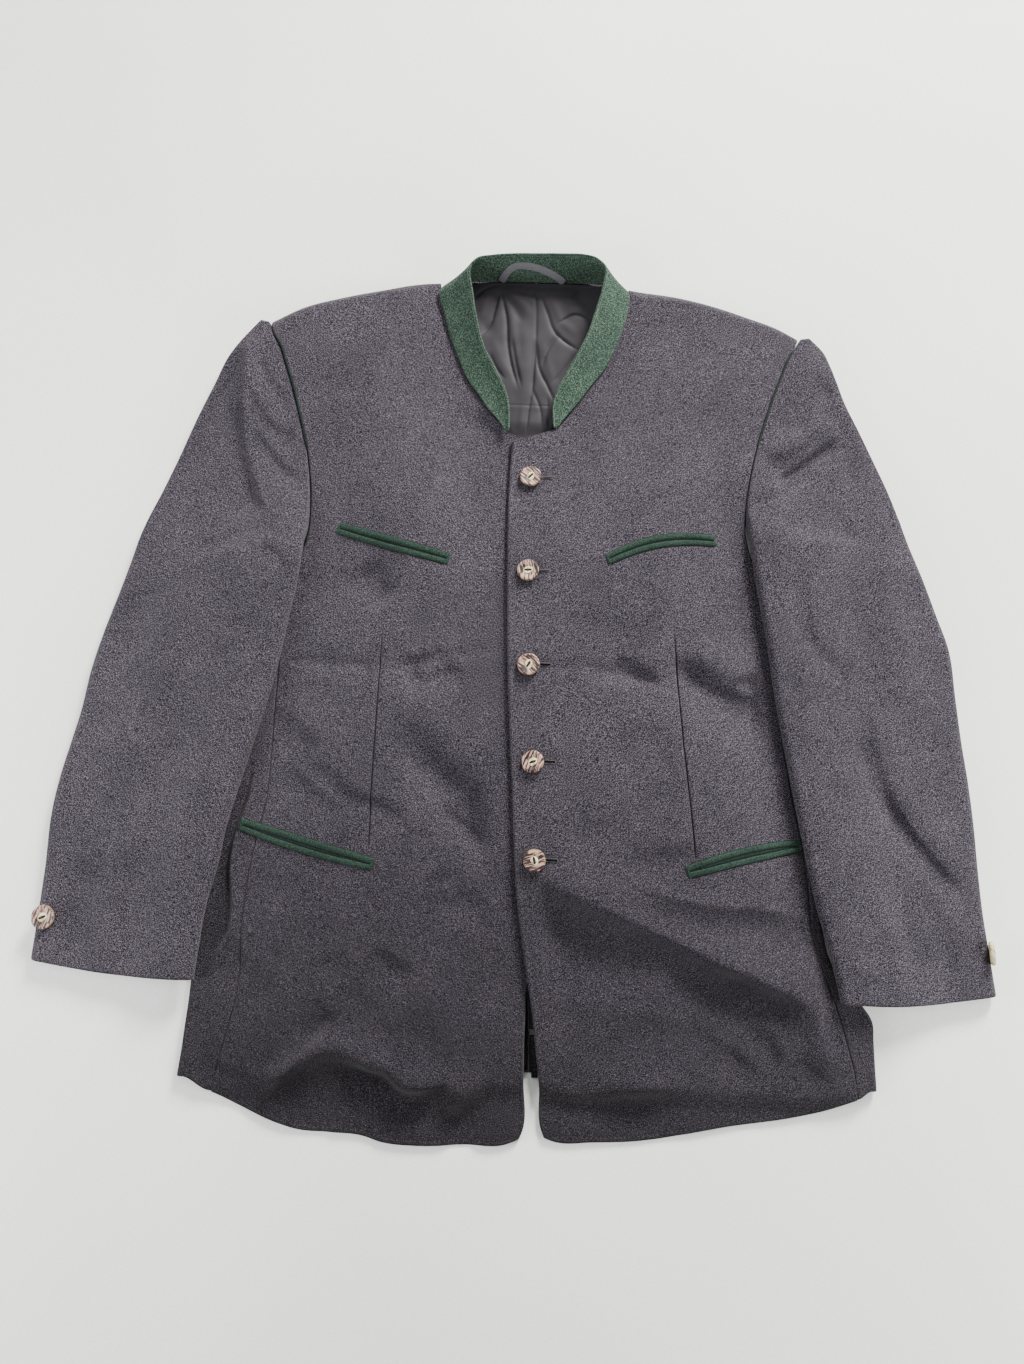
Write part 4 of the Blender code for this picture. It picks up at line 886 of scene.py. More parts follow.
@dataclass(frozen=True)
class Wool(Finish):
    """A milled wool cloth of mixed fibres, with a short nap, and with shade that may be painted darker toward
    the hem.
    """

    dark: Colour
    middle: Colour
    light: Colour
    fleck: float = 760.0
    twill: float = 0.35
    nap: float = 0.00003
    # below 1, the share of the colour kept at the hem, where shade is painted darker
    painted_shade_share: float = 1.0
    rough: float = 0.92
    gloss: float = 0.03

    def work_out(self, nodes: NodeTree) -> None:
        """Add the flecks, the drawn hairs, the broad mottle, the painted shade toward the hem, the twill and
        the nap.

        Args:
            nodes: the material's nodes.
        """
        flat = nodes.place()
        fine = nodes.noise(flat, self.fleck, 3.0, 0.62)
        hairs = nodes.noise(nodes.place((1.0, 0.32, 1.0), 0.5, by_uv=True), self.fleck * 1.7, 2.0, 0.6)
        mixed = nodes.blend(fine, 0.62, hairs, 0.38)
        colour = nodes.ramp(mixed, ((0.42, self.dark), (0.50, self.middle), (0.62, self.light)))
        broad = nodes.noise(flat, 24.0, 3.0, 0.55)
        shades = ((0.30, (0.86, 0.86, 0.87)), (0.70, (1.12, 1.11, 1.10)))
        colour = nodes.times(colour, nodes.ramp(broad, shades))
        # Painted shade: the colour is darkened toward the hem.
        if self.painted_shade_share < 1.0:
            colour = nodes.times(colour, self.painted_hem_shade(nodes))
        nodes.link(colour, "Base Color")
        ribs = nodes.wave(nodes.place(by_uv=True), 150.0, 2.5, "DIAGONAL", (1.0, 90.0))
        nodes.bump(nodes.math("ADD", mixed, nodes.math("MULTIPLY", ribs, self.twill)), self.nap)
        nodes.roughen(self.rough, mixed, 0.08)
        nodes.plain(Sheen__Weight=0.05, Sheen__Roughness=0.6, Specular__IOR__Level=self.gloss)

    def painted_hem_shade(self, nodes: NodeTree) -> Socket:
        """Return the painted shade that darkens the cloth toward the hem.

        Args:
            nodes: the material's nodes.

        Returns:
            The painted shade's socket.
        """
        along = add_node(nodes.tree, "ShaderNodeSeparateXYZ", {0: nodes.place(turn=0.12)}).outputs[1]
        up = nodes.math("MULTIPLY", nodes.math("ADD", along, 0.42), 2.7)
        shades = ((0.02, self.painted_shade_share), (0.50, 0.5 + self.painted_shade_share / 2), (1.0, 1.0))
        return nodes.ramp(up, [(spot, (shade,) * 3) for spot, shade in shades])


@dataclass(frozen=True)
class Satin(Finish):
    """A smooth lining satin that shines along its creases."""

    dark: Colour
    light: Colour
    rough: float = 0.42
    shine: float = 0.25
    relief: float = 0.00012

    def work_out(self, nodes: NodeTree) -> None:
        """Add the broad sheen, painted into the colour as lighter and darker patches, and the threads.

        Args:
            nodes: the material's nodes.
        """
        broad = nodes.noise(nodes.place(), 38.0, 3.0, 0.5)
        value = nodes.blend(broad, 0.8, nodes.wave(nodes.place(turn=0.08), 420.0, 1.2), 0.2)
        # Painted sheen: broad patches lighten and darken the colour.
        nodes.paint(value, (0.3, self.dark), (0.7, self.light))
        nodes.bump(value, self.relief)
        nodes.roughen(self.rough - 0.06, broad, 0.14)
        nodes.plain(Sheen__Weight=0.2 * self.shine, Specular__IOR__Level=self.shine)


@dataclass(frozen=True)
class Tape(Finish):
    """A narrow woven tape with ribs across it."""

    dark: Colour
    light: Colour
    relief: float = 0.00025

    def work_out(self, nodes: NodeTree) -> None:
        """Add the ribs and the threads that cross them.

        Args:
            nodes: the material's nodes.
        """
        where = nodes.place(by_uv=True)
        value = nodes.math("MULTIPLY", nodes.wave(where, 260.0, 0.8), nodes.wave(where, 330.0, 0.8, "Y"))
        mottle = nodes.blend(value, 0.6, nodes.noise(where, 500.0), 0.4)
        nodes.paint(mottle, (0.1, self.dark), (0.6, self.light))
        nodes.bump(value, self.relief)
        nodes.roughen(0.5, mottle, 0.2)
        nodes.plain(Sheen__Weight=0.15)


@dataclass(frozen=True)
class Thread(Finish):
    """A sewing thread of twisted plies."""

    dark: Colour
    light: Colour
    relief: float = 0.0001

    def work_out(self, nodes: NodeTree) -> None:
        """Add the plies.

        Args:
            nodes: the material's nodes.
        """
        plies = nodes.wave(nodes.place(), 900.0, 1.0, "DIAGONAL")
        nodes.paint(plies, (0.1, self.dark), (0.8, self.light))
        nodes.bump(plies, self.relief)
        nodes.roughen(0.5, plies, 0.15)
        nodes.plain(Sheen__Weight=0.1)


@dataclass(frozen=True)
class Horn(Finish):
    """Polished antler with dark grooves, mapped flat across each button."""

    groove: Colour
    brown: Colour
    pale: Colour
    relief: float = 0.0009

    def work_out(self, nodes: NodeTree) -> None:
        """Add the grooves and the broad change of colour.

        Args:
            nodes: the material's nodes.
        """
        lines = nodes.noise(nodes.place((1.0, 0.13, 1.0), by_uv=True), 690.0, 3.0, 0.55)
        broad = nodes.noise(nodes.place((1.0, 0.5, 1.0), by_uv=True), 150.0, 3.0, 0.5)
        value = nodes.blend(lines, 0.8, broad, 0.2)
        nodes.paint(value, (0.475, self.groove), (0.505, self.brown), (0.535, self.pale), (0.70, self.pale))
        nodes.bump(value, self.relief)
        nodes.roughen(0.70, value, -0.3)
        nodes.plain(Specular__IOR__Level=0.35, Coat__Weight=0.05, Coat__Roughness=0.4)


@dataclass(frozen=True)
class Sheet(Finish):
    """The pale cloth that the jacket lies on."""

    dark: Colour
    light: Colour
    relief: float = 0.00008

    def work_out(self, nodes: NodeTree) -> None:
        """Add the slubs of the threads and the broad change of shade.

        Args:
            nodes: the material's nodes.
        """
        slub = nodes.noise(nodes.place((0.25, 1.0, 1.0)), 900.0, 3.0, 0.6)
        value = nodes.blend(slub, 0.55, nodes.noise(nodes.place(), 2.2), 0.45)
        nodes.paint(value, (0.36, self.dark), (0.64, self.light))
        nodes.bump(slub, self.relief)
        nodes.roughen(0.85, slub, 0.1)
        nodes.plain(Specular__IOR__Level=0.1)


LODEN = Wool(
    "loden", (0.0017, 0.0012, 0.0020), (0.0146, 0.0119, 0.0155), (0.1470, 0.1285, 0.1555), 1350.0,
)
# The body's cloth, with shade painted darker toward the hem.
BODY_LODEN_PAINTED_SHADE = replace(LODEN, name="body_loden", painted_shade_share=0.38)
GREEN_WOOL = Wool(
    "green_wool", (0.0060, 0.0135, 0.0088), (0.0209, 0.0391, 0.0273), (0.0942, 0.1370, 0.1049), 1000.0, 0.15,
)
LIP_WOOL = Wool(
    "lip_wool", (0.004, 0.010, 0.007), (0.0105, 0.0235, 0.0165), (0.032, 0.055, 0.041), 1000.0, 0.15,
)
# Dark green wool for the piping and the facings; round the pocket lips it is painted shadow.
DARK_WOOL_AND_PAINTED_SHADE = Wool(
    "dark_green_wool", (0.003, 0.007, 0.006), (0.006, 0.012, 0.009), (0.014, 0.024, 0.019), 900.0, 0.15,
)
LINING = Satin("satin", (0.0132, 0.0115, 0.0138), (0.0233, 0.0203, 0.0243), 0.60, 0.16)
# A near black satin that stands for shade: painted shade on the lining in the vent's gap and in the slits of
# buttons and buttonholes.
PAINTED_SHADE_SATIN = Satin("dark_satin", (0.0015, 0.0014, 0.0016), (0.0035, 0.0032, 0.0038), 0.6, 0.06)
LOOP_TAPE = Tape("tape", (0.04, 0.04, 0.046), (0.135, 0.131, 0.146))
ANTLER = Horn("horn", (0.010, 0.003, 0.004), (0.070, 0.033, 0.028), (0.400, 0.250, 0.185))
PALE_HORN = Horn("pale_horn", (0.05, 0.028, 0.015), (0.13, 0.080, 0.042), (0.26, 0.18, 0.095))
CORE_HORN = Horn("core_horn", (0.34, 0.28, 0.14), (0.50, 0.43, 0.24), (0.66, 0.60, 0.38))
DARK_THREAD = Thread("dark_thread", (0.008, 0.007, 0.009), (0.022, 0.020, 0.024))
GREEN_THREAD = Thread("green_thread", (0.050, 0.085, 0.065), (0.110, 0.160, 0.125))
BROWN_THREAD = Thread("brown_thread", (0.003, 0.003, 0.002), (0.012, 0.010, 0.006))
PALE_THREAD = Thread("pale_thread", (0.10, 0.10, 0.09), (0.30, 0.30, 0.27))
FLOOR = Sheet("pale_sheet", (0.70, 0.72, 0.68), (0.82, 0.84, 0.79))


class Finishes:
    """Makes each finish once and hands it out by name."""

    def __init__(self) -> None:
        """Start with no materials."""
        self.made: dict[str, Material] = {}

    def get(self, finish: Finish) -> Material:
        """Return the material of a finish.

        Args:
            finish: the finish.

        Returns:
            The material.
        """
        if finish.name not in self.made:
            self.made[finish.name] = finish.make()
        return self.made[finish.name]


FINISHES = Finishes()


# ---------------------------------------------------------------- meshes


def lengths(grid: np.ndarray, axis: int) -> np.ndarray:
    """Return the distance of every point of a grid from its first one along an axis.

    Args:
        grid: rows and columns of places.
        axis: the axis to measure along.

    Returns:
        The distances.
    """
    steps = np.linalg.norm(np.diff(grid, axis=axis), axis=-1)
    start = np.zeros_like(np.take(steps, [0], axis=axis))
    return np.cumsum(np.concatenate([start, steps], axis=axis), axis=axis)


def build(name: str, points: np.ndarray, faces: np.ndarray, uv: np.ndarray, finish: Finish) -> Piece:
    """Make a smooth object from points in millimetres.

    Args:
        name: the object's name.
        points: the places of the points.
        faces: rows of three or four point numbers.
        uv: the map's place of each point, in millimetres.
        finish: the finish that it gets.

    Returns:
        The object, in the scene, with its faces turned outward.
    """
    quads = [[int(i) for i in face] for face in faces]
    mesh = bpy.data.meshes.new(name)
    mesh.from_pydata([tuple(p) for p in points * MM], [], quads)
    mesh.update()
    if volume(mesh) < 0:
        mesh.flip_normals()
    layer = mesh.uv_layers.new(name="grain")
    order = np.zeros(len(mesh.loops), np.int32)
    mesh.loops.foreach_get("vertex_index", order)
    layer.data.foreach_set("uv", (uv[order] * MM).astype(np.float32).ravel())
    mesh.polygons.foreach_set("use_smooth", [True] * len(mesh.polygons))
    mesh.materials.append(FINISHES.get(finish))
    piece = bpy.data.objects.new(name, mesh)
    bpy.context.scene.collection.objects.link(piece)
    return piece


def volume(mesh: bpy.types.Mesh) -> float:
    """Return the signed volume inside a closed mesh.

    Args:
        mesh: the mesh.

    Returns:
        The volume, above 0 if the faces turn outward.
    """
    mesh.calc_loop_triangles()
    places = np.zeros(len(mesh.vertices) * 3)
    corners = np.zeros(len(mesh.loop_triangles) * 3, np.int32)
    mesh.vertices.foreach_get("co", places)
    mesh.loop_triangles.foreach_get("vertices", corners)
    a, b, c = (places.reshape(-1, 3)[corners.reshape(-1, 3)[:, k]] for k in range(3))
    return float(np.einsum("ij,ij->i", a, np.cross(b, c)).sum() / 6.0)


def wall(name: str, outer: np.ndarray, inner: np.ndarray, finish: Finish, ring: bool = False) -> Piece:
    """Make one closed wall from two grids of points.

    Args:
        name: the object's name.
        outer: rows and columns of places on the outer face.
        inner: the same for the inner face.
        finish: the finish.
        ring: whether the last row joins the first.

    Returns:
        The object.
    """
    rows, columns = outer.shape[:2]
    half = rows * columns
    # The map runs with the cloth's own lengths, from its middle column.
    across, along = lengths(outer, 1), lengths(outer, 0)
    centre = slice(columns // 2, columns // 2 + 1)
    grain = np.stack([across - across[:, centre], np.repeat(along[:, centre], columns, axis=1)], axis=-1)
    i, j = np.meshgrid(np.arange(rows if ring else rows - 1), np.arange(columns - 1), indexing="ij")
    a = (i * columns + j).ravel()
    b = a + 1
    c = ((i + 1) % rows * columns + j).ravel()
    d = c + 1
    faces = [np.stack([a, b, d, c], axis=1), np.stack([a, c, d, b], axis=1) + half]
    if ring:
        near = [k * columns for k in reversed(range(rows))]
        far = [k * columns + columns - 1 for k in range(rows)]
        borders = [far, near]
    else:
        border = list(range(columns)) + [k * columns + columns - 1 for k in range(1, rows)]
        border += [(rows - 1) * columns + k for k in range(columns - 2, -1, -1)]
        border += [k * columns for k in range(rows - 2, 0, -1)]
        borders = [border]
    for line in borders:
        p = np.array(line)
        q = np.roll(p, -1)
        faces.append(np.stack([p, p + half, q + half, q], axis=1))
    points = np.concatenate([outer.reshape(-1, 3), inner.reshape(-1, 3)])
    return build(name, points, np.concatenate(faces), np.concatenate([grain.reshape(-1, 2)] * 2), finish)


def rolled(away: np.ndarray, radius: float, depth: float) -> np.ndarray:
    """Return how far a face comes down toward an edge that is rolled over."""
    near = 1.0 - np.clip(away / radius, 0.0, 1.0)
    return depth * (1.0 - np.sqrt(np.clip(1.0 - near**2, 0.0, 1.0)))


def clustered(count: int, near: Sequence[float], span: float,
              far: Optional[Sequence[float]] = None) -> np.ndarray:
    """Return shares from 0 to 1 with extra ones close to the ends.

    Args:
        count: how many even shares lie between.
        near: distances from the first end, in millimetres.
        span: the whole length, in millimetres.
        far: distances from the last end, the same as near if left out.

    Returns:
        The rising shares.
    """
    first = np.array(near) / span
    last = 1.0 - np.array(near if far is None else far)[::-1] / span
    even = np.linspace(first[-1], last[0], count + 2)[1:-1]
    return np.concatenate([first, even, last])


class Surface:
    """The shown faces of finished pieces, to set other pieces on."""

    def __init__(self, *pieces: Piece) -> None:
        """Read the pieces' meshes into one search tree, in millimetres.

        Args:
            pieces: the pieces to read.
        """
        points: list[tuple[float, float, float]] = []
        faces: list[list[int]] = []
        for piece in pieces:
            start = len(points)
            points += [tuple(v.co / MM) for v in piece.data.vertices]
            faces += [[start + i for i in p.vertices] for p in piece.data.polygons]
        self.tree = BVHTree.FromPolygons(points, faces)

    def height(self, x: float, y: float, around: float = 0.0) -> float:
        """Return the highest point of the cloth at or near a place.

        Args:
            x: the place's x, in millimetres.
            y: the place's y, in millimetres.
            around: how far beside each place to look as well, in millimetres.

        Returns:
            The height, in millimetres.
        """
        best = 0.0
        beside = ((around, 0), (-around, 0), (0, around), (0, -around)) if around else ()
        for dx, dy in ((0, 0), *beside):
            hit = self.tree.ray_cast(Vector((x + dx, y + dy, 80.0)), Vector((0, 0, -1)))
            if hit[0] is not None:
                best = max(best, hit[0].z)
        return best

    def heights(self, plan: np.ndarray, around: float = 0.0) -> np.ndarray:
        """Return the heights under a grid of places."""
        flat = [self.height(float(x), float(y), around) for x, y in plan.reshape(-1, 2)]
        return np.array(flat).reshape(plan.shape[:-1])


def dress(piece: Piece, slot: str, *nodes: str) -> Piece:
    """Make a piece ride on the body and stand for its solids.

    Args:
        piece: the piece.
        slot: the material slot that its finish belongs to; not used.
        nodes: the solids that it stands for.

    Returns:
        The same piece.
    """
    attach(piece, ROOT)
    if nodes:
        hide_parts(*nodes)
    LOG.info("%s: %d faces", piece.name, len(piece.data.polygons))
    return piece


def panel(name: str, outer: np.ndarray, inner: np.ndarray, finish: Finish, slot: str,
          ring: bool = False) -> Piece:
    """Make the wall that stands for the solid of its name, and dress it."""
    return dress(wall(name + CLOTH, outer, inner, finish, ring), slot, name)


# ---------------------------------------------------------------- the body


def above_hem(y: np.ndarray) -> np.ndarray:
    """Return 0 at the open corners of the hem and 1 from a little above them."""
    return smooth((y + 330.0) / 50.0)


@dataclass
class BodyForm:
    """The heights of the fronts' faces, as the solids have them, and their small creases."""

    loft: float = LOFT
    swell: float = 0.55

    def clear(self, side: Side, x: np.ndarray, y: np.ndarray) -> np.ndarray:
        """Return how far a place is from the edge of the sleeve beside it.

        Args:
            side: which side of the wearer.
            x: the places' x, in millimetres.
            y: the places' y, in millimetres.

        Returns:
            The distances, above 0 on the body's side.
        """
        stations = LEFT_SLEEVE if side is Side.LEFT else RIGHT_SLEEVE
        rows = sorted((s.inner_y, s.inner_x) for s in stations)
        edge = np.interp(y, [r[0] for r in rows], [r[1] for r in rows])
        return np.abs(edge) - np.abs(x)

    def lap(self, x: np.ndarray, y: np.ndarray) -> np.ndarray:
        """Return how far the left front presses the right one down at a place."""
        return smooth((x + 92.0) / 46.0) * smooth((278.0 - y) / 32.0)

    def tucked(self, x: np.ndarray, y: np.ndarray) -> np.ndarray:
        """Return how much further the right front is pressed down below the neck."""
        return 0.9 * smooth((236.0 - y) / 12.0) * above_hem(y) * self.lap(x, y)

    def lofted(self, side: Side, x: np.ndarray, y: np.ndarray) -> np.ndarray:
        """Return how far the cloth inside holds a front up.

        Args:
            side: which side of the wearer.
            x: the places' x, in millimetres.
            y: the places' y, in millimetres.

        Returns:
            The heights, in millimetres.
        """
        out = smooth((self.clear(side, x, y) - 5.0) / 100.0)
        out = out * smooth((np.abs(x - 8.0) + 84.0) / 110.0)
        neck = smooth((np.hypot(x - 5.0, y - 300.0) - 62.0) / 150.0)
        return self.loft * out * smooth((y + 392.0) / 320.0) * smooth((345.0 - y) / 190.0) * neck

    def fallen(self, x: np.ndarray, y: np.ndarray) -> np.ndarray:
        """Return how far a front has come down past the hem of the back, from 0 to 1."""
        back_hem = np.interp(x, [-297.0, 16.0, 327.0], [-364.0, -353.0, -360.0])
        return smooth((back_hem - 3.0 - y) / 24.0)

    def top(self, side: Side, x: np.ndarray, y: np.ndarray, fine: bool = True) -> np.ndarray:
        """Return the height of a front's outer face.

        Args:
            side: which front.
            x: the places' x.
            y: the places' y.
            fine: whether to add the small creases.

        Returns:
            The heights, in millimetres.
        """
        part = "front_" + side.word
        clear = self.clear(side, x, y)
        open_side = smooth((-290.0 - y) / 30.0)
        middle = np.maximum(smooth((clear - 8.0) / 34.0), open_side * 0.6)
        high = smooth((y - 132.0) / 70.0)
        pad = 5.2 * smooth((y - 215.0) / 110.0) * smooth((np.abs(x) - 70.0) / 90.0)
        chest = 1.6 * np.exp(-(((np.abs(x) - 110.0) / 90.0) ** 2) - ((y - 190.0) / 110.0) ** 2)
        level = EDGE_HEIGHT - 0.2 + 1.5 * np.maximum(middle, 0.9 * high) + pad * high + chest
        if fine and side is Side.LEFT:
            for spot in FRONT_BUTTON_SPOTS:
                dx, dy = x - spot.x, y - spot.y
                level = level - 1.5 * np.exp(-((dx - 3.0) ** 2 + dy**2) / 15.0**2)
                pull = 1.8 * smooth((60.0 - spot.y) / 60.0)
                level = level - pull * np.exp(-(((dx - 15.0) / 9.0) ** 2) - ((dy + 1.0) / 5.0) ** 2)
        folds = fold_height(part, x, y)
        if fine:
            folds = folds + crease_height(part, x, y) + self.swell * ripple(x, y, 95.0, 1.0 + side.value)
        folds = folds * np.maximum(smooth((clear - 5.0) / 16.0), open_side)
        lap = smooth((44.0 - x) / 34.0)
        if side is Side.RIGHT:
            pressed = (LAP_UNDER - level) * self.lap(x, y) * above_hem(y)
            level = level + pressed - self.tucked(x, y)
            folds = folds * smooth((-18.0 - x) / 26.0)
        else:
            level = level + (LAP_OVER - level) * lap
            folds = folds * (1.0 - 0.8 * lap)
        return level + self.lofted(side, x, y) + folds - HEM_FALL * self.fallen(x, y)

    def bottom(self, side: Side, x: np.ndarray, y: np.ndarray) -> np.ndarray:
        """Return the height of a front's plain inner face.

        Args:
            side: which side of the wearer.
            x: the places' x, in millimetres.
            y: the places' y, in millimetres.

        Returns:
            The heights, in millimetres.
        """
        fall = HEM_FALL * self.fallen(x, y) - self.lofted(side, x, y)
        if side is Side.RIGHT:
            return INSIDE - 2.1 * self.lap(x, y) * above_hem(y) - fall - self.tucked(x, y)
        return INSIDE + 0.55 * smooth((84.0 - x) / 22.0) * above_hem(y) - fall


BODY = BodyForm()


def above(heights: np.ndarray, least: float) -> np.ndarray:
    """Return the heights eased so that none falls under the least one."""
    return least + 0.4 * np.logaddexp(0.0, (heights - least) / 0.4)


@dataclass
class FrontPanel:
    """One front: its four sides, its dart and how finely its wall is laid out."""

    side: Side
    rows: Sequence[SideRow]
    sleeve: Sequence[Station]
    underarm: Point
    edge: Sequence[Point]
    neck: Sequence[Point]
    shoulder: Sequence[Point]
    hem: Sequence[Point]
    dart: Sequence[Point]
    columns: int = 98
    edge_rows: int = 168
    top_rows: int = 12
    neck_rows: int = 44

    def outer_line(self) -> np.ndarray:
        """Return places close together up the side seam and the armhole.

        Returns:
            The places, from the hem up.
        """
        sign = self.side.value
        line = [Point(r.seam_x - sign * SEAM / 2, r.seam_y) for r in self.rows]
        line.append(self.underarm)
        for s in reversed(self.sleeve[1:LAST_UNLIFTED + 2]):
            line.append(Point(s.inner_x - sign * (SEAM + 0.15), s.inner_y))
        first = self.sleeve[0]
        line.append(Point(first.inner_x - sign * (SEAM + 0.15), first.inner_y + 4.0))
        return curve(line, count=500)

    def inner_line(self) -> tuple[np.ndarray, np.ndarray]:
        """Return a place of the front edge, top edge and neck for each row, and its height up the side.

        Returns:
            The places, and the y on the side that each of their rows comes from.
        """
        outer = self.outer_line()
        low, high = outer[0, 1], outer[-1, 1]
        near = (0.0, 0.4, 1.0, 1.8, 2.8, 4.2, 6.0, 9.0)
        edge = curve(self.edge, at=clustered(self.edge_rows, near, 640.0, (0.0, 1.0, 2.2, 3.6)))
        corner = curve([self.edge[-1], self.neck[0]], at=np.linspace(0, 1, self.top_rows + 2)[1:-1])
        neck = curve(self.neck, at=clustered(self.neck_rows, (0.0, 1.0, 2.2), 170.0, near[:6]))
        share = np.concatenate([
            0.80 * (edge[:, 1] - edge[0, 1]) / (edge[-1, 1] - edge[0, 1]),
            np.linspace(0.80, 0.86, self.top_rows + 2)[1:-1],
            0.86 + 0.14 * (neck[:, 1] - neck[0, 1]) / (neck[-1, 1] - neck[0, 1]),
        ])
        return np.concatenate([edge, corner, neck]), low + share * (high - low)

    def shares(self, sides: np.ndarray, inside: np.ndarray) -> np.ndarray:
        """Return the share of each column across each row, drawn close at the edges and the dart.

        Args:
            sides: each row's place on the side seam or the armhole.
            inside: each row's place on the front edge or the neck.

        Returns:
            The shares, a row for each row of the front.
        """
        near = (0.0, 0.35, 0.9, 1.7, 2.8, 4.2, 6.2)
        base = clustered(self.columns, near, 240.0)
        path = np.array(self.dart)
        dart_y = np.clip(sides[:, 1], path[0, 1], path[-1, 1])
        for _ in range(3):
            dart_x = np.interp(dart_y, path[:, 1], path[:, 0])
            at = (dart_x - sides[:, 0]) / (inside[:, 0] - sides[:, 0])
            dart_y = np.clip(sides[:, 1] + at * (inside[:, 1] - sides[:, 1]), path[0, 1], path[-1, 1])
        middle = float(at[len(at) // 2])
        extra = middle + np.array([-3.0, -1.6, -0.75, -0.38, 0.0, 0.38, 0.75, 1.6, 3.0]) / 240.0
        kept = base[np.abs(base - middle) > 3.2 / 240.0]
        base = np.sort(np.concatenate([kept, extra]))
        below = base / middle * at[:, None]
        beyond = 1.0 - (1.0 - base) / (1.0 - middle) * (1.0 - at[:, None])
        return np.where(base < middle, below, beyond)

    def plan(self) -> np.ndarray:
        """Return the rows and columns of places that the front covers.

        Returns:
            The places, in millimetres.
        """
        inside, up_side = self.inner_line()
        outer = self.outer_line()
        sides = np.stack([np.interp(up_side, outer[:, 1], outer[:, 0]), up_side], axis=1)
        u = self.shares(sides, inside)
        grid = sides[:, None, :] * (1 - u[..., None]) + inside[:, None, :] * u[..., None]
        v = (up_side - up_side[0]) / (up_side[-1] - up_side[0])
        ends = ((self.shoulder, -1, smooth((v - 0.80) / 0.20)), (self.hem, 0, smooth((0.22 - v) / 0.22)))
        for line, k, weight in ends:
            bend = curve(line, at=u[k]) - grid[k]
            grid = grid + weight[:, None, None] * bend[None, :, :]
        return grid

    def groove(self, x: np.ndarray, y: np.ndarray) -> np.ndarray:
        """Return the depth of the dart's seam at each place.

        Args:
            x: the places' x, in millimetres.
            y: the places' y, in millimetres.

        Returns:
            The depths, in millimetres.
        """
        path = np.array(self.dart)
        away = np.abs(x - np.interp(y, path[:, 1], path[:, 0]))
        ends = smooth((y - path[0, 1] + 4.0) / 8.0) * smooth((path[-1, 1] + 6.0 - y) / 40.0)
        return ends * (2.2 * np.exp(-((away / 0.55) ** 2)) + 0.35 * np.exp(-((away / 3.0) ** 2)))

    def shoulder_drop(self, x: np.ndarray, y: np.ndarray, top: np.ndarray) -> np.ndarray:
        """Round the outer face down to the shoulder line.

        Args:
            x: the places' x, in millimetres.
            y: the places' y, in millimetres.
            top: the height of the outer face.

        Returns:
            The lowered outer face.
        """
        line = curve(self.shoulder, count=60)
        order = np.argsort(line[:, 0])
        away = np.interp(x, line[order, 0], line[order, 1]) - y
        near = 1.0 - smooth(away / 8.0)
        beside_neck = smooth((np.abs(x) - 84.0) / 30.0)
        return top - (top - 9.0) * near * (0.35 + 0.65 * beside_neck) * (y > 250)

    def make(self) -> Piece:
        """Build the front's wall.

        Returns:
            The front.
        """
        name = "front_" + self.side.word
        plan = self.plan()
        x, y = plan[..., 0], plan[..., 1]
        top = self.shoulder_drop(x, y, BODY.top(self.side, x, y))
        # How far each place is from the four sides.
        across, along = lengths(plan, 1), lengths(plan, 0)
        to_side, to_edge = across, across[:, -1:] - across
        to_hem, to_top = along, along[-1:, :] - along
        near_neck = smooth((16.0 - to_edge) / 14.0) * smooth((y - 236.0) / 20.0)
        top = top + (NECK_EDGE - top) * near_neck * smooth((to_top - 2.0) / 10.0)
        # The edges roll over, and the hem and the front edge are stitched.
        armhole = smooth((y - 116.0) / 12.0)
        top = top - rolled(to_side, 1.5, 1.0 + 0.8 * armhole)
        below_neck = smooth((250.0 - y) / 12.0)
        top = top - rolled(to_edge, 2.2, 0.5 + 1.6 * below_neck) - rolled(to_hem, 3.2, 1.9)
        top = top - rolled(to_top, 6.0, 2.2)
        hemmed = np.exp(-(((to_hem - 4.1) / 0.8) ** 2)) * smooth((to_side - 3.0) / 4.0)
        edged = np.exp(-(((to_edge - 4.1) / 0.8) ** 2)) * below_neck * smooth((to_hem - 3.0) / 4.0)
        top = above(top - self.groove(x, y) - 0.5 * np.maximum(hemmed, edged), 1.2)
        low = np.minimum(BODY.bottom(self.side, x, y), top - THINNEST)
        inner = np.dstack([x, y, np.maximum(low, 0.35)])
        return panel(name, np.dstack([x, y, top]), inner, BODY_LODEN_PAINTED_SHADE, "loden")


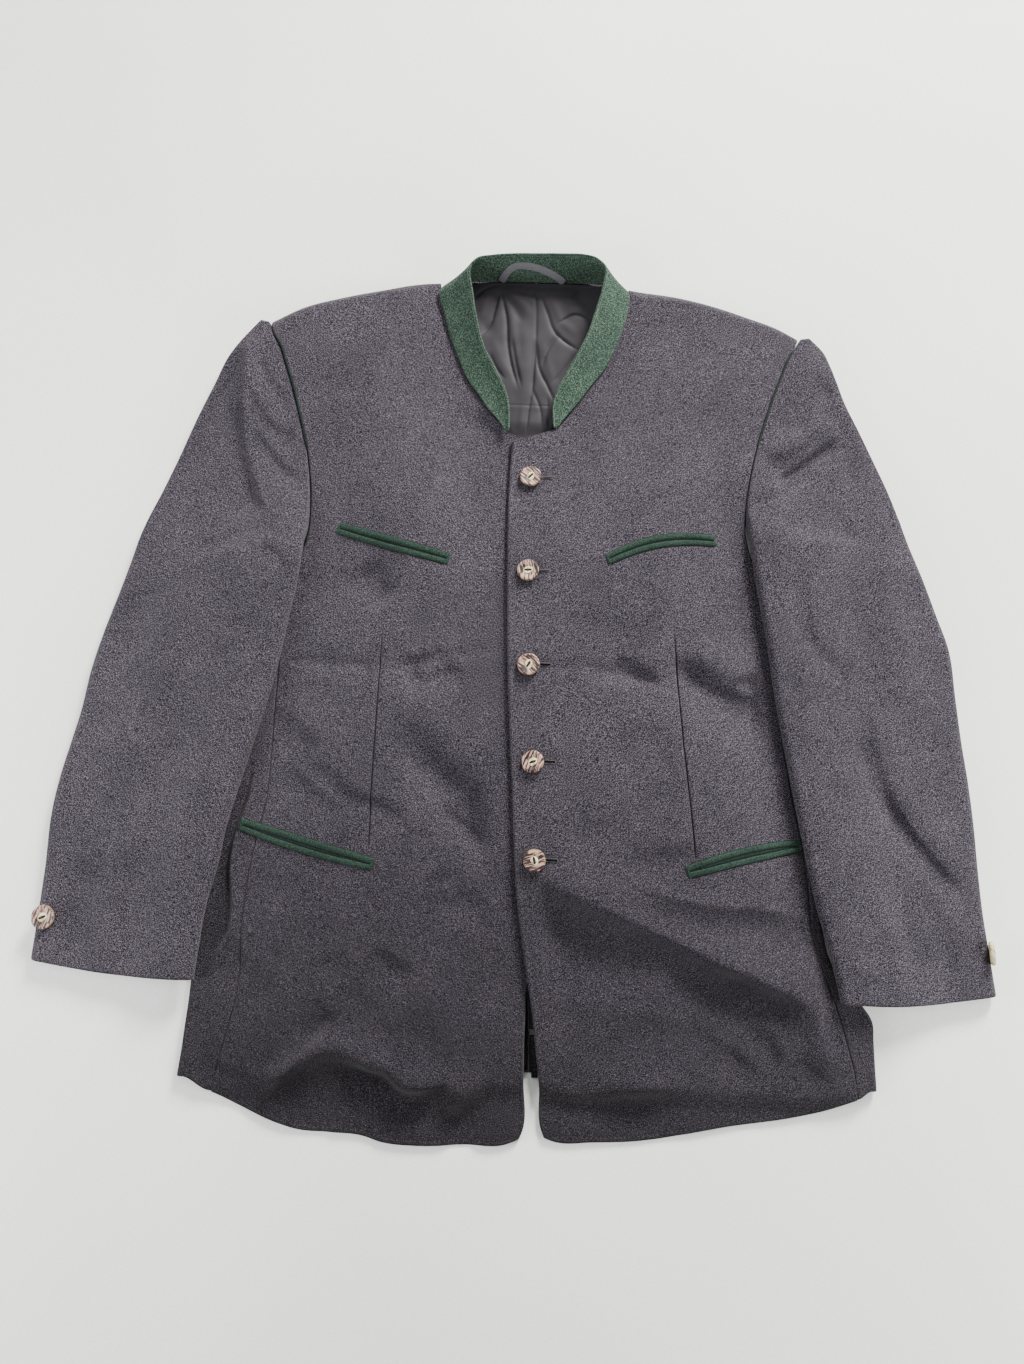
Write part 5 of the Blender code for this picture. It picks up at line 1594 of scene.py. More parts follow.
@dataclass
class SidePanel:
    """The panel from the front seam round the body's side fold to the back seam."""

    side: Side
    rows: Sequence[SideRow]
    count: int = 150
    top_columns: int = 34
    arc_columns: int = 12
    back_in: float = BACK_SEAM_IN
    deep: float = 2.3
    waist: float = 4.65

    def make(self) -> Piece:
        """Build the panel's wall.

        Returns:
            The panel.
        """
        sign = self.side.value
        name = "side_panel_" + self.side.word
        places = np.array(self.rows, float)
        run = np.concatenate([[0.0], np.cumsum(np.hypot(*np.diff(places[:, :2], axis=0).T))])
        want = clustered(self.count, (0.0, 0.4, 1.0, 1.8, 2.8, 4.2), run[-1]) * run[-1]
        edge_x, edge_y, seam_x, seam_y, tuck_in, tuck = hermite(run, places, want).T
        tuck = np.clip(tuck, 0.0, 1.0)[:, None]
        # The seam's side closes up to the front's near the hem, and the other side folds under.
        seam_x = seam_x + sign * (SEAM / 2 - 0.7 * (1.0 - smooth((want - want[0]) / 30.0)))
        near = np.minimum(5.0, np.abs(edge_x - seam_x) * 0.6)
        back_x = edge_x - sign * self.back_in
        fold_x = edge_x - sign * near
        # The outer face: its top with the tuck, the round fold and the stretch on the floor.
        share = clustered(self.top_columns, (0.0, 0.4, 1.0, 2.0), 36.0, (0.0, 1.0))
        top_x = seam_x[:, None] + (fold_x - seam_x)[:, None] * share
        top_y = seam_y[:, None] + (edge_y - seam_y)[:, None] * smooth(share)
        form = BODY.top(self.side, top_x, top_y)
        level = form + (EDGE_HEIGHT - 0.5 - form) * smooth(share)[None, :]
        past = np.abs(top_x - seam_x[:, None]) - tuck_in[:, None]
        level = level + tuck * (1.9 * np.exp(-((past / 6.0) ** 2)) * (past < 0) + 1.9 * (past >= 0))
        level = level - tuck * (self.deep + 1.9) * smooth((past + 0.6) / 4.2)
        hem_away = (want - want[0])[:, None]
        seam_away = share * np.abs(fold_x - seam_x)[:, None]
        top_z = level - rolled(seam_away, 2.4, 0.9) - rolled(hem_away, 3.0, 1.2)
        turn = np.linspace(0.0, math.pi, self.arc_columns + 2)[1:-1]
        high = top_z[:, -1:]
        arc_x = fold_x[:, None] + sign * near[:, None] * np.sin(turn)
        arc_z = high / 2 * (1 + np.cos(turn)) + 0 * arc_x
        low_share = np.array([0.0, 0.3, 0.65, 0.97, 1.0])
        low_x = fold_x[:, None] + (back_x - fold_x)[:, None] * low_share
        low_z = np.zeros_like(low_x)
        row_y = edge_y[:, None]
        outer_x = np.concatenate([top_x, arc_x, low_x], axis=1)
        outer_y = np.concatenate([top_y, row_y + 0 * arc_x, row_y + 0 * low_x], axis=1)
        outer = np.dstack([outer_x, outer_y, np.concatenate([top_z, arc_z, low_z], axis=1)])
        # The inner face, a wall's thickness in from the outer one.
        bend = np.maximum(near + 1.0, 4.4)
        turn_x = edge_x - sign * bend
        in_top_x = seam_x[:, None] + (turn_x - seam_x)[:, None] * share
        seam_low = BODY.bottom(self.side, seam_x, seam_y)[:, None]
        in_past = np.abs(in_top_x - seam_x[:, None]) - tuck_in[:, None]
        in_top_z = seam_low + (INSIDE - 0.4 - seam_low) * smooth(share)
        in_top_z = np.minimum(in_top_z - 2.2 * tuck * smooth((in_past + 3.0) / 4.0), top_z - 0.8)
        in_arc_x = turn_x[:, None] + sign * 1.7 * np.sin(turn)
        up, down = np.maximum(np.cos(turn), 0), np.maximum(-np.cos(turn), 0)
        in_arc_z = self.waist + (in_top_z[:, -1:] - self.waist) * up + (WALL + 0.1 - self.waist) * down
        in_low_x = turn_x[:, None] + (back_x - turn_x)[:, None] * low_share
        inner_x = np.concatenate([in_top_x, in_arc_x, in_low_x], axis=1)
        inner_z = np.concatenate([in_top_z, in_arc_z, np.full_like(in_low_x, WALL)], axis=1)
        return panel(name, outer, np.dstack([inner_x, outer_y, inner_z]), BODY_LODEN_PAINTED_SHADE, "loden")


@dataclass
class BackPanel:
    """One half of the back, flat on the floor and turned up where it meets the shoulder seam."""

    side: Side
    rows: Sequence[SideRow]
    sleeve: Sequence[Station]
    shoulder: Sequence[Point]
    columns: int = 26
    count: int = 70
    back_in: float = BACK_SEAM_IN
    turn_up: float = 5.9

    def make(self) -> Piece:
        """Build the panel's wall.

        Returns:
            The panel.
        """
        sign = self.side.value
        name = "back_" + self.side.word
        line = [Point(r.edge_x - sign * (self.back_in + SEAM), r.edge_y) for r in self.rows]
        step = len(line)
        armhole = reversed(self.sleeve[:LAST_UNLIFTED + 1])
        line += [Point(s.inner_x - sign * (SEAM + 0.25), s.inner_y) for s in armhole]
        line[-1] = Point(line[-1].x, line[-1].y + 4.0)
        shares = clustered(self.count, (0.0, 0.5, 1.2, 2.4), 470.0, (0.0, 4.0))
        arm_shares = clustered(self.count // 2, (0.0, 4.0), 230.0, (0.0, 0.3, 0.8, 1.6, 2.6, 4.0, 6.0))
        side = np.concatenate([curve(line[:step], at=shares), curve(line[step:], at=arm_shares)])
        centre = curve(BACK_CENTRE, count=300)
        share = (side[:, 1] - side[0, 1]) / (side[-1, 1] - side[0, 1])
        want = centre[0, 1] + share * (centre[-1, 1] - centre[0, 1])
        middle = np.stack([np.interp(want, centre[:, 1], centre[:, 0]) + sign * SEAM / 2, want], axis=1)
        u = clustered(self.columns, (0.0, 0.6, 1.6, 3.2), 250.0)
        grid = side[:, None, :] * (1 - u[None, :, None]) + middle[:, None, :] * u[None, :, None]
        neck = [Point(sign * 88 + 5, 390.0), Point(sign * 68 + 5, 399.0), Point(5 + sign * 0.2, 401.2)]
        top = curve(list(self.shoulder[:-1]) + neck, at=u) - grid[-1]
        hem = curve([Point(*side[0]), Point(*middle[0])], at=u) - grid[0]
        grid = grid + smooth((share - 0.72) / 0.28)[:, None, None] * top[None]
        grid = grid + smooth((0.22 - share) / 0.22)[:, None, None] * hem[None]
        x, y = grid[..., 0], grid[..., 1]
        away = lengths(grid, 0)
        to_top = away[-1:, :] - away
        beside_neck = smooth((np.abs(x - 5.0) - 78.0) / 10.0)
        low_z = rolled(to_top, 6.0, self.turn_up) * beside_neck
        high_z = WALL + rolled(to_top, 3.0, self.turn_up - WALL + 0.15) * beside_neck
        return panel(name, np.dstack([x, y, low_z]), np.dstack([x, y, high_z]), BODY_LODEN_PAINTED_SHADE, "loden")


# ---------------------------------------------------------------- the sleeves


@dataclass
class Sleeve:
    """One sleeve, a flattened tube of a top and an under half that meet at its folds."""

    side: Side
    stations: Sequence[Station]
    count: int = 215
    columns: int = 74
    round_in: float = 6.4
    swell: float = 0.6
    waist: float = 4.8
    under_rows: int = 3
    under_columns: int = 4

    def sections(self) -> dict[str, np.ndarray]:
        """Return the sleeve's measures at every row, from the head to the cuff.

        Returns:
            The inner and outer folds, the run, the body's reach, the lift and the armhole's share of each row.
        """
        places = np.array(self.stations, float)[:, :4]
        places[:, 2] += 2.5 * self.side.value * smooth((places[:, 3] + 190.0) / 60.0)
        places[:2, 1::2] += 0.8
        middle = (places[:, :2] + places[:, 2:]) / 2
        run = np.concatenate([[0.0], np.cumsum(np.hypot(*np.diff(middle, axis=0).T))])
        near_cuff = (0.0, 0.4, 1.0, 1.8, 2.8, 4.2)
        want = clustered(self.count, (0.0, 1.0, 2.2, 4.0), run[-1], near_cuff) * run[-1]
        lines = hermite(run, places, want)
        over = [max(0.0, abs(s.edge_x) - abs(s.inner_x)) if s.edge_x else 0.0 for s in self.stations]
        seam = [1.0 if k <= LAST_UNLIFTED else 0.0 for k in range(len(self.stations))]
        return {
            "lines": lines,
            "run": want,
            "over": np.interp(want, run, over),
            "lift": np.interp(want, run, [s.lift for s in self.stations]),
            "seam": np.interp(want, run, seam),
        }

    def make(self) -> list[Piece]:
        """Build the two halves.

        Returns:
            The top half and the under half.
        """
        part = "sleeve_" + self.side.word
        cut = self.sections()
        lines, lift, over, seam = cut["lines"], cut["lift"], cut["over"], cut["seam"]
        inner, outer = lines[:, :2], lines[:, 2:]
        width = np.hypot(*(outer - inner).T)[:, None]
        curl = self.round_in * np.minimum(1.0, width / 26.0) * (1.0 - 0.72 * seam[:, None])
        ends = np.array([0.0, 0.02, 0.07, 0.15, 0.27, 0.43, 0.64, 0.88])
        even = np.linspace(0.0, 1.0, self.columns + 2)[1:-1]
        near = ends[None, :] * curl
        far = width - near[:, ::-1]
        centre = near[:, -1:] + (far[:, :1] - near[:, -1:]) * even
        across = np.concatenate([near, centre, far], axis=1)
        share = across / width
        x = inner[:, :1] + (outer - inner)[:, :1] * share
        y = inner[:, 1:] + (outer - inner)[:, 1:] * share
        # How far the tube is lifted on the body, and how high it stands on that.
        base = CUFF_LIFT * lift[:, None] * (1.0 - smooth((across - over[:, None] - 5.0) / SLEEVE_RAMP))
        rise = CUFF_LIFT * (1.0 - lift[:, None]) * smooth((UNDERARM_RISE - inner[:, 1:]) / 100.0)
        rise = rise * (1.0 - smooth(across / 120.0))
        puff = 3.2 * np.sin(np.pi * np.clip(share, 0, 1)) ** 0.6
        head = 3.2 * smooth((inner[:, 1:] - 240.0) / 90.0) * (1.0 - 0.4 * share)
        height = TUBE + puff + head
        beside = BODY.top(self.side, inner[:, :1], inner[:, 1:], fine=False) - 0.6
        join = (1.0 - smooth(across / 30.0)) * seam[:, None]
        height = height + (np.maximum(beside, TUBE - 0.6) - height) * join + rise
        edge = np.minimum(across, width - across)
        folds = fold_height(part, x, y) + crease_height(part, x, y)
        folds = folds + self.swell * ripple(x, y, 80.0, 3.0 + self.side.value)
        height = above(height + folds * smooth((edge - 3.0) / 12.0), 5.6)
        # The outer faces of both halves meet at the tube's waist, with the seam's gap between them.
        turn = np.clip(edge / curl, 0.0, 1.0)
        bulge = np.sqrt(np.clip(1.0 - (1.0 - turn) ** 2, 0.0, 1.0))
        waist = self.waist
        to_cuff = (cut["run"][-1] - cut["run"])[:, None]
        top_z = base + waist + SEAM / 2 + (height - waist) * bulge - rolled(to_cuff, 3.0, 1.6)
        under_z = base + waist - SEAM / 2 - (waist - SEAM / 2) * bulge
        bow = 4.0 * np.sin(np.pi * np.clip(share, 0, 1)) * smooth((18.0 - to_cuff) / 18.0)
        y = y - bow
        # The inner faces keep in from the folds.
        slim = np.minimum(1.0, width / 26.0)
        keep = (width - 6.0 * slim) / width
        within = 3.0 * slim + across * keep
        in_share = within / width
        xi = inner[:, :1] + (outer - inner)[:, :1] * in_share
        yi = inner[:, 1:] + (outer - inner)[:, 1:] * in_share - bow
        in_turn = np.clip(np.minimum(across, width - across) / 2.4, 0.0, 1.0)
        in_bulge = np.sqrt(np.clip(1.0 - (1.0 - in_turn) ** 2, 0.0, 1.0))
        in_top = np.minimum(base + waist + SEAM / 2 + (INSIDE + rise - waist) * in_bulge, top_z - 0.6)
        in_top = np.maximum(in_top, base + waist + SEAM / 2)
        in_under = base + waist - SEAM / 2 - (waist - WALL - SEAM / 2) * in_bulge
        top = panel("top_" + part, np.dstack([x, y, top_z]), np.dstack([xi, yi, in_top]), LODEN, "loden")
        # The under half hardly shows, so it has fewer rows, and columns close together only at its folds.
        row, column = np.arange(len(x)), np.arange(x.shape[1]) - len(ends)
        few_rows = (row % self.under_rows == 0) | (row == row[-1])
        few_columns = (column < 0) | (column % self.under_columns == 0) | (column >= self.columns)
        chosen = np.ix_(few_rows, few_columns)
        under_out = np.dstack([x[chosen], y[chosen], under_z[chosen]])
        under_in = np.dstack([xi[chosen], yi[chosen], in_under[chosen]])
        return [top, panel("under_" + part, under_out, under_in, LODEN, "loden")]


# ---------------------------------------------------------------- the collar


@dataclass
class Collar:
    """The standing collar, its hanger loop and its edge stitching."""

    thick: float = 2.6
    swell: float = 1.2
    count: int = 260
    columns: int = 16

    def lines(self, count: int) -> tuple[np.ndarray, np.ndarray, np.ndarray]:
        """Return the seam line, the free edge and the way across the thickness.

        Args:
            count: how many rows to take round the collar.

        Returns:
            The three, with a row for each place round the collar.
        """
        places = np.array(COLLAR, float)
        steps = np.linalg.norm(np.diff(places[:, :3] + places[:, 3:], axis=0), axis=1) / 2
        run = np.concatenate([[0.0], np.cumsum(steps)])
        want = clustered(count, (0.0, 0.5, 1.2, 2.2, 3.6, 5.4), run[-1]) * run[-1]
        rows = hermite(run, places, want)
        seam, edge = rows[:, :3], rows[:, 3:]
        along = np.gradient(seam + edge, axis=0)
        across = edge - seam
        across[:6] = across[6]
        across[-6:] = across[-7]
        normal = np.cross(along, across)
        normal /= np.linalg.norm(normal, axis=1)[:, None]
        return seam, edge, normal

    def face(self, shares: np.ndarray, lift: float) -> np.ndarray:
        """Return places on the band, at shares from the seam to the free edge, moved out of its inner face.

        Args:
            shares: the shares, from the seam to the free edge.
            lift: how far out of the inner face, in millimetres.

        Returns:
            The places, in millimetres.
        """
        seam, edge, normal = self.lines(self.count)
        face = seam[:, None, :] * (1 - shares[None, :, None]) + edge[:, None, :] * shares[None, :, None]
        swell = self.swell * np.sin(np.pi * shares)[None, :, None] + lift
        return face + swell * normal[:, None, :]

    def make(self) -> Piece:
        """Build the band with rolled edges.

        Returns:
            The band.
        """
        seam, edge, normal = self.lines(self.count)
        shares = clustered(self.columns, (0.0, 0.3, 0.8, 1.5, 2.4), 26.0)
        inside = self.face(shares, 0.0)
        reach = np.linalg.norm(edge - seam, axis=1)[:, None]
        away = np.minimum(shares[None, :], 1.0 - shares[None, :]) * reach
        places = lengths(((seam + edge) / 2)[:, None, :], 0)
        to_end = np.minimum(places, places[-1:] - places)
        pull = rolled(np.minimum(away, to_end), 1.7, 1.0)
        stitch = 0.28 * np.exp(-(((away - 3.0) / 0.7) ** 2)) * (shares[None, :] > 0.5)
        inner = inside - (pull * 0.9 + stitch)[..., None] * normal[:, None, :]
        outer = inside - (self.thick - pull - stitch)[..., None] * normal[:, None, :]
        return panel("collar", outer, inner, GREEN_WOOL, "green_wool")

    def loop(self) -> Piece:
        """Build the hanger loop, a tape that lies along the inner face of the back collar.

        Returns:
            The loop.
        """
        seam, edge, normal = self.lines(self.count)
        third = slice(self.count // 4, 3 * self.count // 4)
        rows = curve(LOOP_ROWS, at=clustered(40, (0.0, 1.0), 60.0))
        centres, outs = [], []
        for place, up_share in rows:
            xs = seam[third, 0] * (1 - up_share) + edge[third, 0] * up_share
            found = [[np.interp(place, xs, axis) for axis in line[third].T] for line in (seam, edge, normal)]
            low, high, out = np.array(found)
            beside = np.clip(up_share + np.array([-0.13, 0.0, 0.13]), 0.0, 1.0)
            swell = self.swell * np.sin(np.pi * beside).max()
            centres.append(low * (1 - up_share) + high * up_share + out * (swell + 0.12))
            outs.append(out)
        middle, out = np.array(centres), np.array(outs)
        run = np.gradient(middle, axis=0)
        run /= np.linalg.norm(run, axis=1)[:, None]
        side = np.cross(out, run)
        side /= np.linalg.norm(side, axis=1)[:, None]
        shares = np.array([-0.5, -0.47, -0.40, -0.2, 0.0, 0.2, 0.40, 0.47, 0.5])
        near = middle[:, None, :] + side[:, None, :] * (shares * LOOP_WIDTH)[None, :, None]
        crown = 0.55 + 0.35 * np.cos(np.pi * shares)
        far = near + out[:, None, :] * crown[None, :, None]
        return panel("hanger_loop", far, near, LOOP_TAPE, "tape")


# ---------------------------------------------------------------- the lining


@dataclass
class Lining:
    """The two parts of the back lining that the openings of the jacket show."""

    rows: int = 210
    columns: int = 150
    cross_seam: float = 270.0
    raised: float = 2.6

    def opening(self, x: np.ndarray, y: np.ndarray) -> np.ndarray:
        """Return how far a place is inside the neck's opening, from 0 at its edge to 1.

        Args:
            x: the places' x, in millimetres.
            y: the places' y, in millimetres.

        Returns:
            The shares.
        """
        right, left = np.array(RIGHT_NECK), np.array(LEFT_NECK)
        near = np.minimum(x - np.interp(y, right[:, 1], right[:, 0]), np.interp(y, left[:, 1], left[:, 0]) - x)
        return smooth((near - 1.0) / 9.0) * smooth((y - 238.0) / 16.0)

    def make(self) -> list[Piece]:
        """Build the lining at the neck, the small part behind the vent and the vent's folded edge."""
        return [self.neck(), self.skirt(), self.vent_edge()]

    def neck(self) -> Piece:
        """Build the lining at the back of the neck, with its creases.

        Returns:
            The lining.
        """
        ys = np.linspace(232.0, 394.0, self.rows)
        left = np.interp(ys, [232, 264, 324, 394], [-40, -60, -88, -74])
        right = np.interp(ys, [232, 264, 324, 394], [46, 64, 92, 80])
        u = clustered(self.columns, (0.0, 0.5), 140.0)
        x = left[:, None] + (right - left)[:, None] * u
        y = ys[:, None] + 0 * x
        up_to_seam = 3.6 - 1.4 * smooth((np.abs(x - 5.0) - 35.0) / 25.0)
        y = y + up_to_seam * ((ys[:, None] - ys[0]) / (ys[-1] - ys[0])) ** 6
        inside = self.opening(x, y)
        away = y - self.cross_seam
        seam = np.exp(-((away / 0.8) ** 2)) - 0.5 * np.exp(-(((away + 3.0) / 2.4) ** 2))
        swell = 0.15 * ripple(x, y, 22.0, 5.0) + 0.22 * ripple(x, 0.4 * y, 34.0, 8.0)
        top_seam = smooth((396.0 - y) / 9.0)
        form = (self.raised + 0.42 * crease_height("lining", x, y) + swell) * (0.35 + 0.65 * top_seam)
        high = WALL + SEAM + 0.7 + inside * np.clip(form, -0.2, 6.5) - 0.25 * seam * inside
        high = np.maximum(high, WALL + SEAM + 0.35)
        low = np.maximum(high - 1.4, WALL + SEAM)
        faces = (np.dstack([x, y, face]) for face in (high, low))
        return panel("lining_neck", *faces, LINING, "satin")

    def skirt(self) -> Piece:
        """Build the small part of the lining that shows behind the vent, coloured nearly black as painted
        shade.

        Returns:
            The lining.
        """
        up = np.linspace(0, 1, 24)[:, None, None]
        over = np.linspace(0, 1, 12)[None, :, None]
        low = np.array([-14.0, -350.0]) * (1 - over) + np.array([15.8, -350.0]) * over
        high = np.array([-14.0, -262.0]) * (1 - over) + np.array([13.6, -262.0]) * over
        plan = low * (1 - up) + high * up
        floor = np.full(plan.shape[:2], WALL + SEAM)
        wave = 0.12 * np.sin(plan[..., 0] / 3.1 + plan[..., 1] / 19.0)
        outer = np.dstack([plan, floor + 0.66 + wave])
        return panel("lining_skirt", outer, np.dstack([plan, floor]), PAINTED_SHADE_SATIN, "dark_satin")

    def vent_edge(self) -> Piece:
        """Build the folded edge of the vent's under half, which comes a little below the hem.

        Returns:
            The edge.
        """
        down = clustered(30, (0.0, 0.015, 0.04), 1.0)[:, None]
        shares = clustered(5, (0.0, 0.08, 0.2), 1.0)[None, :]
        y = -313.0 - 44.2 * down + 0 * shares
        x = 17.6 + 1.6 * down + (4.6 + 1.2 * down) * shares
        z = WALL + SEAM + 1.0 + 0.7 * np.sin(np.pi * shares) ** 0.5 - rolled(44.2 * (1.0 - down), 1.6, 0.7)
        low = np.dstack([x, y, np.full_like(y, WALL + 0.1)])
        return dress(wall("vent_edge" + CLOTH, np.dstack([x, y, z + 0 * y]), low, BODY_LODEN_PAINTED_SHADE), "loden")


# ---------------------------------------------------------------- pockets and piping


@dataclass
class Pockets:
    """The jetted pockets: two joined lips round each slit, and the facing inside an open one."""

    width: float = 4.9
    thick: float = 1.15
    count: int = 70

    def make(self, lip: Lip, cloth: Surface) -> list[Piece]:
        """Build one pocket on the cloth.

        Args:
            lip: the pocket's row of the table.
            cloth: the cloth that it lies on.

        Returns:
            The lips, the dark strip of painted shadow round and between them and, where the slit is open, the
            facing.
        """
        share = clustered(self.count, (0.0, 0.006, 0.016, 0.03), 1.0)
        ax, ay = lip.x2 - lip.x1, lip.y2 - lip.y1
        length = math.hypot(ax, ay)
        normal = np.array([-ay, ax]) / length
        run = np.array([ax, ay]) / length
        line = np.stack([lip.x1 + ax * share, lip.y1 + ay * share], axis=1)
        line = line + normal[None, :] * (lip.bow * (1 - (2 * share - 1) ** 2))[:, None]
        open_by = lip.spread * np.sin(np.pi * share) ** 0.7 + 0.9
        around = np.array([0.0, 0.05, 0.14, 0.3, 0.5, 0.7, 0.86, 0.95, 1.0])
        crown = np.array([0.05, 0.5, 0.8, 1.0, 1.08, 1.0, 0.85, 0.55, 0.05])
        plan = []
        for sign in (1, -1):
            for k in range(len(line))[::sign]:
                end = 2.6 * (max(0.0, 1 - (1 - share[k]) / 0.03) - max(0.0, 1 - share[k] / 0.03))
                inner = line[k] + sign * normal * open_by[k] / 2
                outer = inner + sign * normal * self.width + run * end
                plan.append(outer[None, :] * (1 - around[:, None]) + inner[None, :] * around[:, None])
        plan = np.array(plan)
        z = cloth.heights(plan, 0.8) + 0.08
        z = np.maximum(z, (z.max(axis=1, keepdims=True) + z.min(axis=1, keepdims=True)) / 2 - 0.6)
        step = np.arange(len(plan))[:, None]
        wave = 1.0 + 0.10 * np.sin(step * 0.9) * np.sin(step * 0.23)
        outer = np.dstack([plan, z + self.thick * crown[None, :] * wave])
        piece = panel(lip.name, outer, np.dstack([plan, z]), LIP_WOOL, "green_wool", ring=True)
        made = [piece, self.seam(lip.name, line, normal, open_by, cloth)]
        if lip.spread > 2:
            made.append(self.facing(lip, line[8:-8], cloth))
        return made

    def seam(self, name: str, line: np.ndarray, normal: np.ndarray, open_by: np.ndarray,
             cloth: Surface) -> Piece:
        """Build the dark strip round the lips and between them: painted shadow of the seam's ditch and of the
        slit.

        Args:
            name: the name of the lips.
            line: the slit's middle line.
            normal: the way across it.
            open_by: how far the lips stand apart along it.
            cloth: the cloth under it.

        Returns:
            The strip.
        """
        # Painted shadow: a thin dark sheet laid round the lips and across the slit.
        shares = clustered(9, (0.0, 0.05), 1.0) * 2.0 - 1.0
        reach = open_by / 2 + self.width + 0.75
        plan = line[:, None, :] + normal[None, None, :] * (shares[None, :] * reach[:, None])[..., None]
        z = cloth.heights(plan)
        faces = (np.dstack([plan, z + up]) for up in (0.22, 0.02))
        return dress(wall(name + "_seam", *faces, DARK_WOOL_AND_PAINTED_SHADE), "dark_green_wool")

    def facing(self, lip: Lip, line: np.ndarray, cloth: Surface) -> Piece:
        """Build the dark facing that the open slit shows.

        Args:
            lip: the pocket's row of the table.
            line: the places of the slit's middle line.
            cloth: the cloth that it lies on.

        Returns:
            The facing.
        """
        side = np.array([-(lip.y2 - lip.y1), lip.x2 - lip.x1])
        side = side / np.linalg.norm(side)
        shares = np.linspace(-1.0, 1.0, 6)
        plan = line[:, None, :] + side[None, None, :] * shares[None, :, None]
        z = cloth.heights(plan, 0.8) + 0.06
        high = np.dstack([plan, z + 0.30 + 0.12 * np.cos(shares * 1.4)[None, :]])
        name = lip.name.replace("lips", "facing")
        return panel(name, high, np.dstack([plan, z]), DARK_WOOL_AND_PAINTED_SHADE, "dark_green_wool")


@dataclass
class Piping:
    """The narrow dark piping set in the seam of a sleeve's head."""

    side: Side
    sleeve: Sequence[Station]
    width: float = 1.7
    high: float = 0.6

    def make(self, cloth: Surface) -> Piece:
        """Build the piping along the seam.

        Args:
            cloth: the cloth that it lies on.

        Returns:
            The piping.
        """
        sign = self.side.value
        rows = [Point(s.inner_x - sign * 0.5, s.inner_y) for s in self.sleeve[1:7]]
        line = curve(rows, at=clustered(70, (0.0, 0.5, 1.2), 120.0))
        run = np.gradient(line, axis=0)
        run /= np.linalg.norm(run, axis=1)[:, None]
        side = np.stack([-run[:, 1], run[:, 0]], axis=1)
        turn = np.linspace(0.0, math.pi, 9)
        ends = np.sin(np.pi * np.linspace(0.004, 0.996, len(line)))[:, None]
        taper = np.sqrt(np.clip(ends * 4, 0.05, 1.0))
        plan = line[:, None, :] - side[:, None, :] * (np.cos(turn)[None, :] * self.width / 2 * taper)[..., None]
        level = cloth.heights(plan, 0.9).max(axis=1, keepdims=True) * np.ones((1, 9))
        high = np.dstack([plan, level + 0.05 + (0.04 + self.high * np.sin(turn))[None, :] * taper])
        low = np.dstack([plan, level - 0.25])
        return panel("piping_" + self.side.word, high, low, DARK_WOOL_AND_PAINTED_SHADE, "dark_green_wool")


# ---------------------------------------------------------------- stitches


class Laid(Enum):
    """How a stitch lies against the line that it follows."""

    ALONG = 0.0
    ACROSS = 90.0


